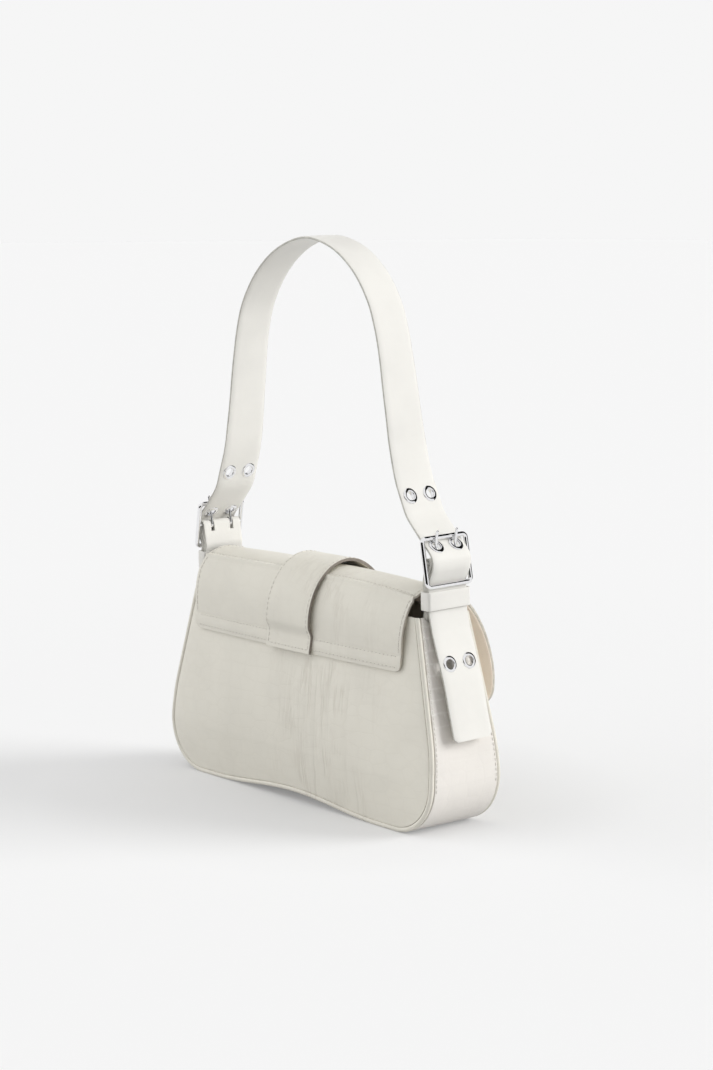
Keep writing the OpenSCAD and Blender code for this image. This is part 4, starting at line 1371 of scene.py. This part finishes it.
chape_line = [Vector((anchor_x(BODY_H - drop), BODY_H - drop)) for drop in (8, 5)]
chape_line += [
    Vector((KEEPER_X - 3 - (rise / KEEPER_H) ** 4 * 0.44, KEEPER_Z + rise))
    for rise in (0, KEEPER_H - 1.2, KEEPER_H + 4.3)
]


def touch(p, centre, r, side):
    """Where a line from a point touches a circle, on one side of it."""
    v = centre - p
    g = math.asin(r / v.length)
    a = math.atan2(v.y, v.x) + side * g
    return p + v.length * math.cos(g) * way(a)


def chape_path():
    """Up one layer, round the bar and down the other."""
    bar = Vector((BAR_X, BAR_Z))
    layers = []
    for side in (-1, 1):
        shift = side * (CHAPE_T + LAYER_GAP) / 2
        layer = [p + left_of(chape_line, k) * shift for k, p in enumerate(chape_line)]
        layers.append(layer + [touch(layer[-1], bar, CHAPE_R, side)])
    start, stop = (math.atan2(p.y - bar.y, p.x - bar.x) for p in (layers[0][-1], layers[1][-1]))
    stop += math.tau if stop < start else 0
    loop = [bar + CHAPE_R * way(a) for a in even(start, stop, 24)]
    return spaced(layers[0][:-1] + loop + layers[1][-2::-1], CHAPE_STEP)


def path_place(path, distance):
    for a, b in zip(path, path[1:]):
        span = (b - a).length
        if distance <= span:
            break
        distance -= span
    ahead = (b - a).normalized()
    return a.lerp(b, min(1, distance / span)), Vector((-ahead.y, ahead.x))


def chape_rings(side):
    path = chape_path()
    length = length_of(path)
    section = flat_section(CHAPE_W / 2, CHAPE_T / 2 - 0.02, CHAPE_EDGE_R)
    rings = []
    for f in even(0, 1, 64):
        ring = []
        for w, n in section:
            skipped = max(0, TURN_R - math.sqrt(TURN_R**2 - w**2) + PIVOT_Z - TURN_R - path[0].y)
            p, aside = path_place(path, lerp(skipped, length - skipped, f))
            q = p + aside * n
            ring.append(leaned(side * q.x, w, q.y))
        rings.append(ring)
    return rings


def slot_cutters(side):
    cutters = []
    for y in PRONG_PAIR:
        cube = begun(
            bpy.ops.mesh.primitive_cube_add, size=1, location=leaned(side * BAR_X, y, BAR_Z + SLOT_UP)
        )
        cube.dimensions = (20 * MM, SLOT_W * MM, SLOT_H * MM)
        only(cube)
        bpy.ops.object.transform_apply(location=True, rotation=True, scale=True)
        cutters.append(cube)
    return cutters


for side, end in RIGHT_AND_LEFT:
    chape = sweep("chape_strip_" + end, chape_rings(side))
    wear(chape, strap_leather, strap_edge)
    paint_edges(chape)
    cut(chape, slot_cutters(side))
    smooth(chape, 42)
    placed(chape, "strap", "leather", "chape_" + end)


# Keeper: a leather loop round the chape and the tail, under each buckle

def loop_corners(x0, x1, y, r):
    """Once round a rectangle with round corners, as (x, y, outward x, outward y)."""
    made = []
    corners = ((x1 - r, y - r, 0), (x0 + r, y - r, 90), (x0 + r, r - y, 180), (x1 - r, r - y, 270))
    for cx, cy, start in corners:
        for a in (math.radians(d) for d in even(start, start + 90, 4)):
            made.append((cx + r * math.cos(a), cy + r * math.sin(a), math.cos(a), math.sin(a)))
    return made


KEEPER_CORNER_R = 1.5
KEEPER_EDGE_R = 0.4
# Height up to which the keeper's lower edge is painted
PAINTED_UP = 0.2


def keeper_rings(side):
    inner = chape_line[3].x - CHAPE_T - 2 * SOFT_GAP
    outer = KEEPER_X + STRAP_HALF_T + SOFT_GAP
    half = KEEPER_W / 2 - KEEPER_T / 2
    path = loop_corners(inner - KEEPER_T / 2, outer + KEEPER_T / 2, half, KEEPER_CORNER_R)
    section = flat_section(KEEPER_H / 2, KEEPER_T / 2 - 0.03, KEEPER_EDGE_R)
    return [
        [leaned(side * (x + ox * n), y + oy * n, KEEPER_Z + KEEPER_H / 2 + h) for h, n in section]
        for x, y, ox, oy in path + path[:1]
    ]


for side, end in RIGHT_AND_LEFT:
    keeper = sweep("keeper_loop_" + end, keeper_rings(side), capped=False)
    wear(keeper, strap_leather, tab_edge)
    for face in keeper.data.polygons:
        low = KEEPER_Z - (face.center.y - SHIFT) / MM * math.sin(STRAP_LEAN) + PAINTED_UP
        face.material_index = int(face.center.z / MM < low)
    smooth(keeper, 42)
    placed(keeper, end + "_keeper", "leather", "keeper_" + end)


def anchor_surface(side):
    def surface(u, v):
        y = (2 * u - 1) * CHAPE_W / 2
        top = PIVOT_Z - math.sqrt((TURN_R + SOFT_GAP) ** 2 - y**2)
        z = lerp(BODY_H - ANCHOR_DROP, top, v)
        return side * (anchor_x(z) + CHAPE_T), y, z

    return surface


anchors = [
    leather_sheet("anchor", 12, 16, anchor_surface(side), 2 * CHAPE_T, (inner_leather, strap_edge))
    for side in (1, -1)
]
anchors = joined(anchors, "chape_anchors_leather")
placed(anchors, "bag", "leather", "chape_anchors")


# Stitch rows

# How far each row of stitches stands in from its edge, and the hem's rows up from theirs
GUSSET_ROW = 1.15
HEM_ROWS = (2.6, 9.4)
FLAP_ROW = 2.2
TAB_ROW = 1.9

for side, end in BACK_AND_FRONT:
    edge = 0.5 + side * (0.5 - GUSSET_ROW / (BASE_DEPTH - 2 * GUSSET_GAP))
    path = along_at(edge, 0.004, 0.996, 300)
    row = stitch_row("gusset_stitches_" + end, gusset_surface(), path, pitch=3.2, length=2, above=30)
    placed(row, "bag", "leather")

for k, up in enumerate(HEM_ROWS):
    row = stitch_row(f"hem_stitches_{k + 1}", flap_surface, across_at(up / FLAP_LENGTH, 0.018, 0.982, 120))
    placed(row, "bag", "leather")

side_in = FLAP_ROW / (2 * FLAP_HALF)
for u, end in ((side_in, "left"), (1 - side_in, "right")):
    row = stitch_row("flap_side_stitches_" + end, flap_surface, along_at(u, HEM_V + 0.01, 0.97, 160))
    bent(row, "leather")
front_row = across_at(1 - FLAP_ROW / FLAP_LENGTH, 0.1, 0.9, 120)
row = stitch_row("flap_front_stitches", flap_surface, front_row)
placed(row, "flap", "leather")
ridge_row = across_at(RIDGE_V + RIDGE_ROW / FLAP_LENGTH, 0.015, 0.985, 120)
row = stitch_row("ridge_stitches", flap_surface, ridge_row, middle=FLAP_MIDDLE)
placed(row, "flap", "leather")

side_in = TAB_ROW / TAB_W
for u, end in ((side_in, "left"), (1 - side_in, "right")):
    row = stitch_row("tab_stitches_" + end, tab_surface, along_at(u, 0.012, 0.9, 200), length=2.2)
    bent(row, "leather")
row = stitch_row("tab_hem_stitches", tab_surface, across_at(HEM_ROWS[0] / sum(TAB_RUNS), 0.05, 0.95, 40))
placed(row, "bag", "leather")
row = stitch_row("pocket_stitches", pocket_face, across_at(0.96, 0.02, 0.98, 80), middle=(0, 60, 70))
placed(row, "bag", "lining")


# Metal and board keep their own solids

finishes = {"buckle": chrome, "prong": chrome, "snap": chrome, "base_board": board}
for name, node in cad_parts.items():
    for start, material in finishes.items():
        if name.startswith(start):
            wear(node, material)
            smooth(node, 30)


# Room: floor, background and soft light

BACKGROUND = grey(0.921)
FLOOR_COLOUR = grey(0.6)
# Glow of the floor at places that are half as far as it is from the bag, in metres; it is dimmer near the
# bag, a painted shade on the floor round it
FLOOR_GLOW_DIMMED_NEAR_BAG = [(0.02, grey(0.19)), (0.1, grey(0.295)), (0.5, grey(0.31))]
CARD_COLOUR = grey(0.01)
CARD_DISTANCE = 0.9
CARD_MIDDLE = Vector((0, 0, 0.17))


def matt(name, colour):
    """A material without any gloss."""
    material, tree, shader = new_material(name)
    put(tree, shader, {"Base Color": (*colour, 1), "Roughness": 1, "Specular IOR Level": 0})
    return material, tree, shader


def make_floor():
    floor = begun(bpy.ops.mesh.primitive_plane_add, size=60)
    floor.name = "floor"
    material, tree, shader = matt("floor", FLOOR_COLOUR)
    rays = add(tree, "LightPath").outputs
    seen = combined(tree, rays["Is Camera Ray"], rays["Is Glossy Ray"], "MAXIMUM")
    place = add(tree, "TexCoord").outputs["Object"]
    distance = add(tree, "VectorMath", {0: place}, operation="LENGTH").outputs["Value"]
    # The glow fades near the bag: painted shade on the floor round it
    tone = ramp(tree, combined(tree, distance, 0.5, "MULTIPLY"), FLOOR_GLOW_DIMMED_NEAR_BAG)
    glow = add(tree, "Emission", {"Color": tone, "Strength": seen})
    both = add(tree, "AddShader", {0: shader.outputs["BSDF"], 1: glow.outputs["Emission"]})
    output = next(node for node in tree.nodes if node.type == "OUTPUT_MATERIAL")
    put(tree, output, {"Surface": both.outputs["Shader"]})
    wear(floor, material)


def make_world(strength):
    """Even light of a plain strength, behind which the backdrop is seen and mirrored."""
    world = bpy.data.worlds.new("studio")
    bpy.context.scene.world = world
    world.use_nodes = True
    tree = world.node_tree
    tree.nodes.clear()
    rays = add(tree, "LightPath").outputs
    seen = combined(tree, rays["Is Glossy Ray"], rays["Is Transmission Ray"], "MAXIMUM")
    seen = combined(tree, rays["Is Camera Ray"], seen, "MAXIMUM")
    light = add(tree, "Background", {"Color": (1, 1, 1, 1), "Strength": strength})
    backdrop = add(tree, "Background", {"Color": (*BACKGROUND, 1), "Strength": 1})
    light, backdrop = (node.outputs["Background"] for node in (light, backdrop))
    mix = add(tree, "MixShader", {0: seen, 1: light, 2: backdrop})
    add(tree, "OutputWorld", {"Surface": mix.outputs["Shader"]})


def make_dark_card(name, azimuth, elevation, wide, high):
    """A matt black studio card that only polish mirrors; angles as seen from the bag, in degrees."""
    a, e = math.radians(azimuth), math.radians(elevation)
    toward = Vector((math.cos(a) * math.cos(e), math.sin(a) * math.cos(e), math.sin(e)))
    card = begun(
        bpy.ops.mesh.primitive_plane_add, size=2 * CARD_DISTANCE,
        location=toward * CARD_DISTANCE + CARD_MIDDLE, rotation=(math.pi / 2 - e, 0, a + math.pi / 2),
    )
    card.name = name
    card.scale = (math.tan(math.radians(wide / 2)), math.tan(math.radians(high / 2)), 1)
    wear(card, matt(name, CARD_COLOUR)[0])
    card.visible_camera = False
    card.visible_diffuse = False
    card.visible_shadow = False
    card.visible_transmission = False


def make_lamp(name, toward, strength, angle):
    """A far, broad, soft lamp that polish doesn't mirror; toward points from the bag to it."""
    lamp = bpy.data.lights.new(name, "SUN")
    lamp.energy = strength
    lamp.angle = math.radians(angle)
    holder = bpy.data.objects.new(name, lamp)
    holder.rotation_mode = "QUATERNION"
    holder.rotation_quaternion = Vector(toward).to_track_quat("Z", "Y")
    holder.visible_glossy = False
    bpy.context.scene.collection.objects.link(holder)


def make_camera():
    camera = bpy.data.cameras.new("camera")
    camera.lens = 77.38
    camera.sensor_width = 36
    holder = bpy.data.objects.new("camera", camera)
    place, target = Vector((-1.1423, 0.9455, 0.3750)), Vector((0.0111, -0.0262, 0.1673))
    holder.location = place
    holder.rotation_mode = "QUATERNION"
    holder.rotation_quaternion = (place - target).to_track_quat("Z", "Y")
    bpy.context.scene.collection.objects.link(holder)
    bpy.context.scene.camera = holder


make_floor()
make_world(0.36)
make_lamp("key", (-0.62, -0.69, 0.375), 2.55, 36)
make_lamp("top", (-0.15, 0.05, 1), 0.6, 70)
make_lamp("fill", (0.6, 0.75, 0.22), 1.75, 90)
make_dark_card("camera_card", 122, -2, 98, 50)
make_dark_card("high_card", 270, 24, 84, 84)
make_camera()
bpy.context.scene.view_settings.view_transform = "Standard"
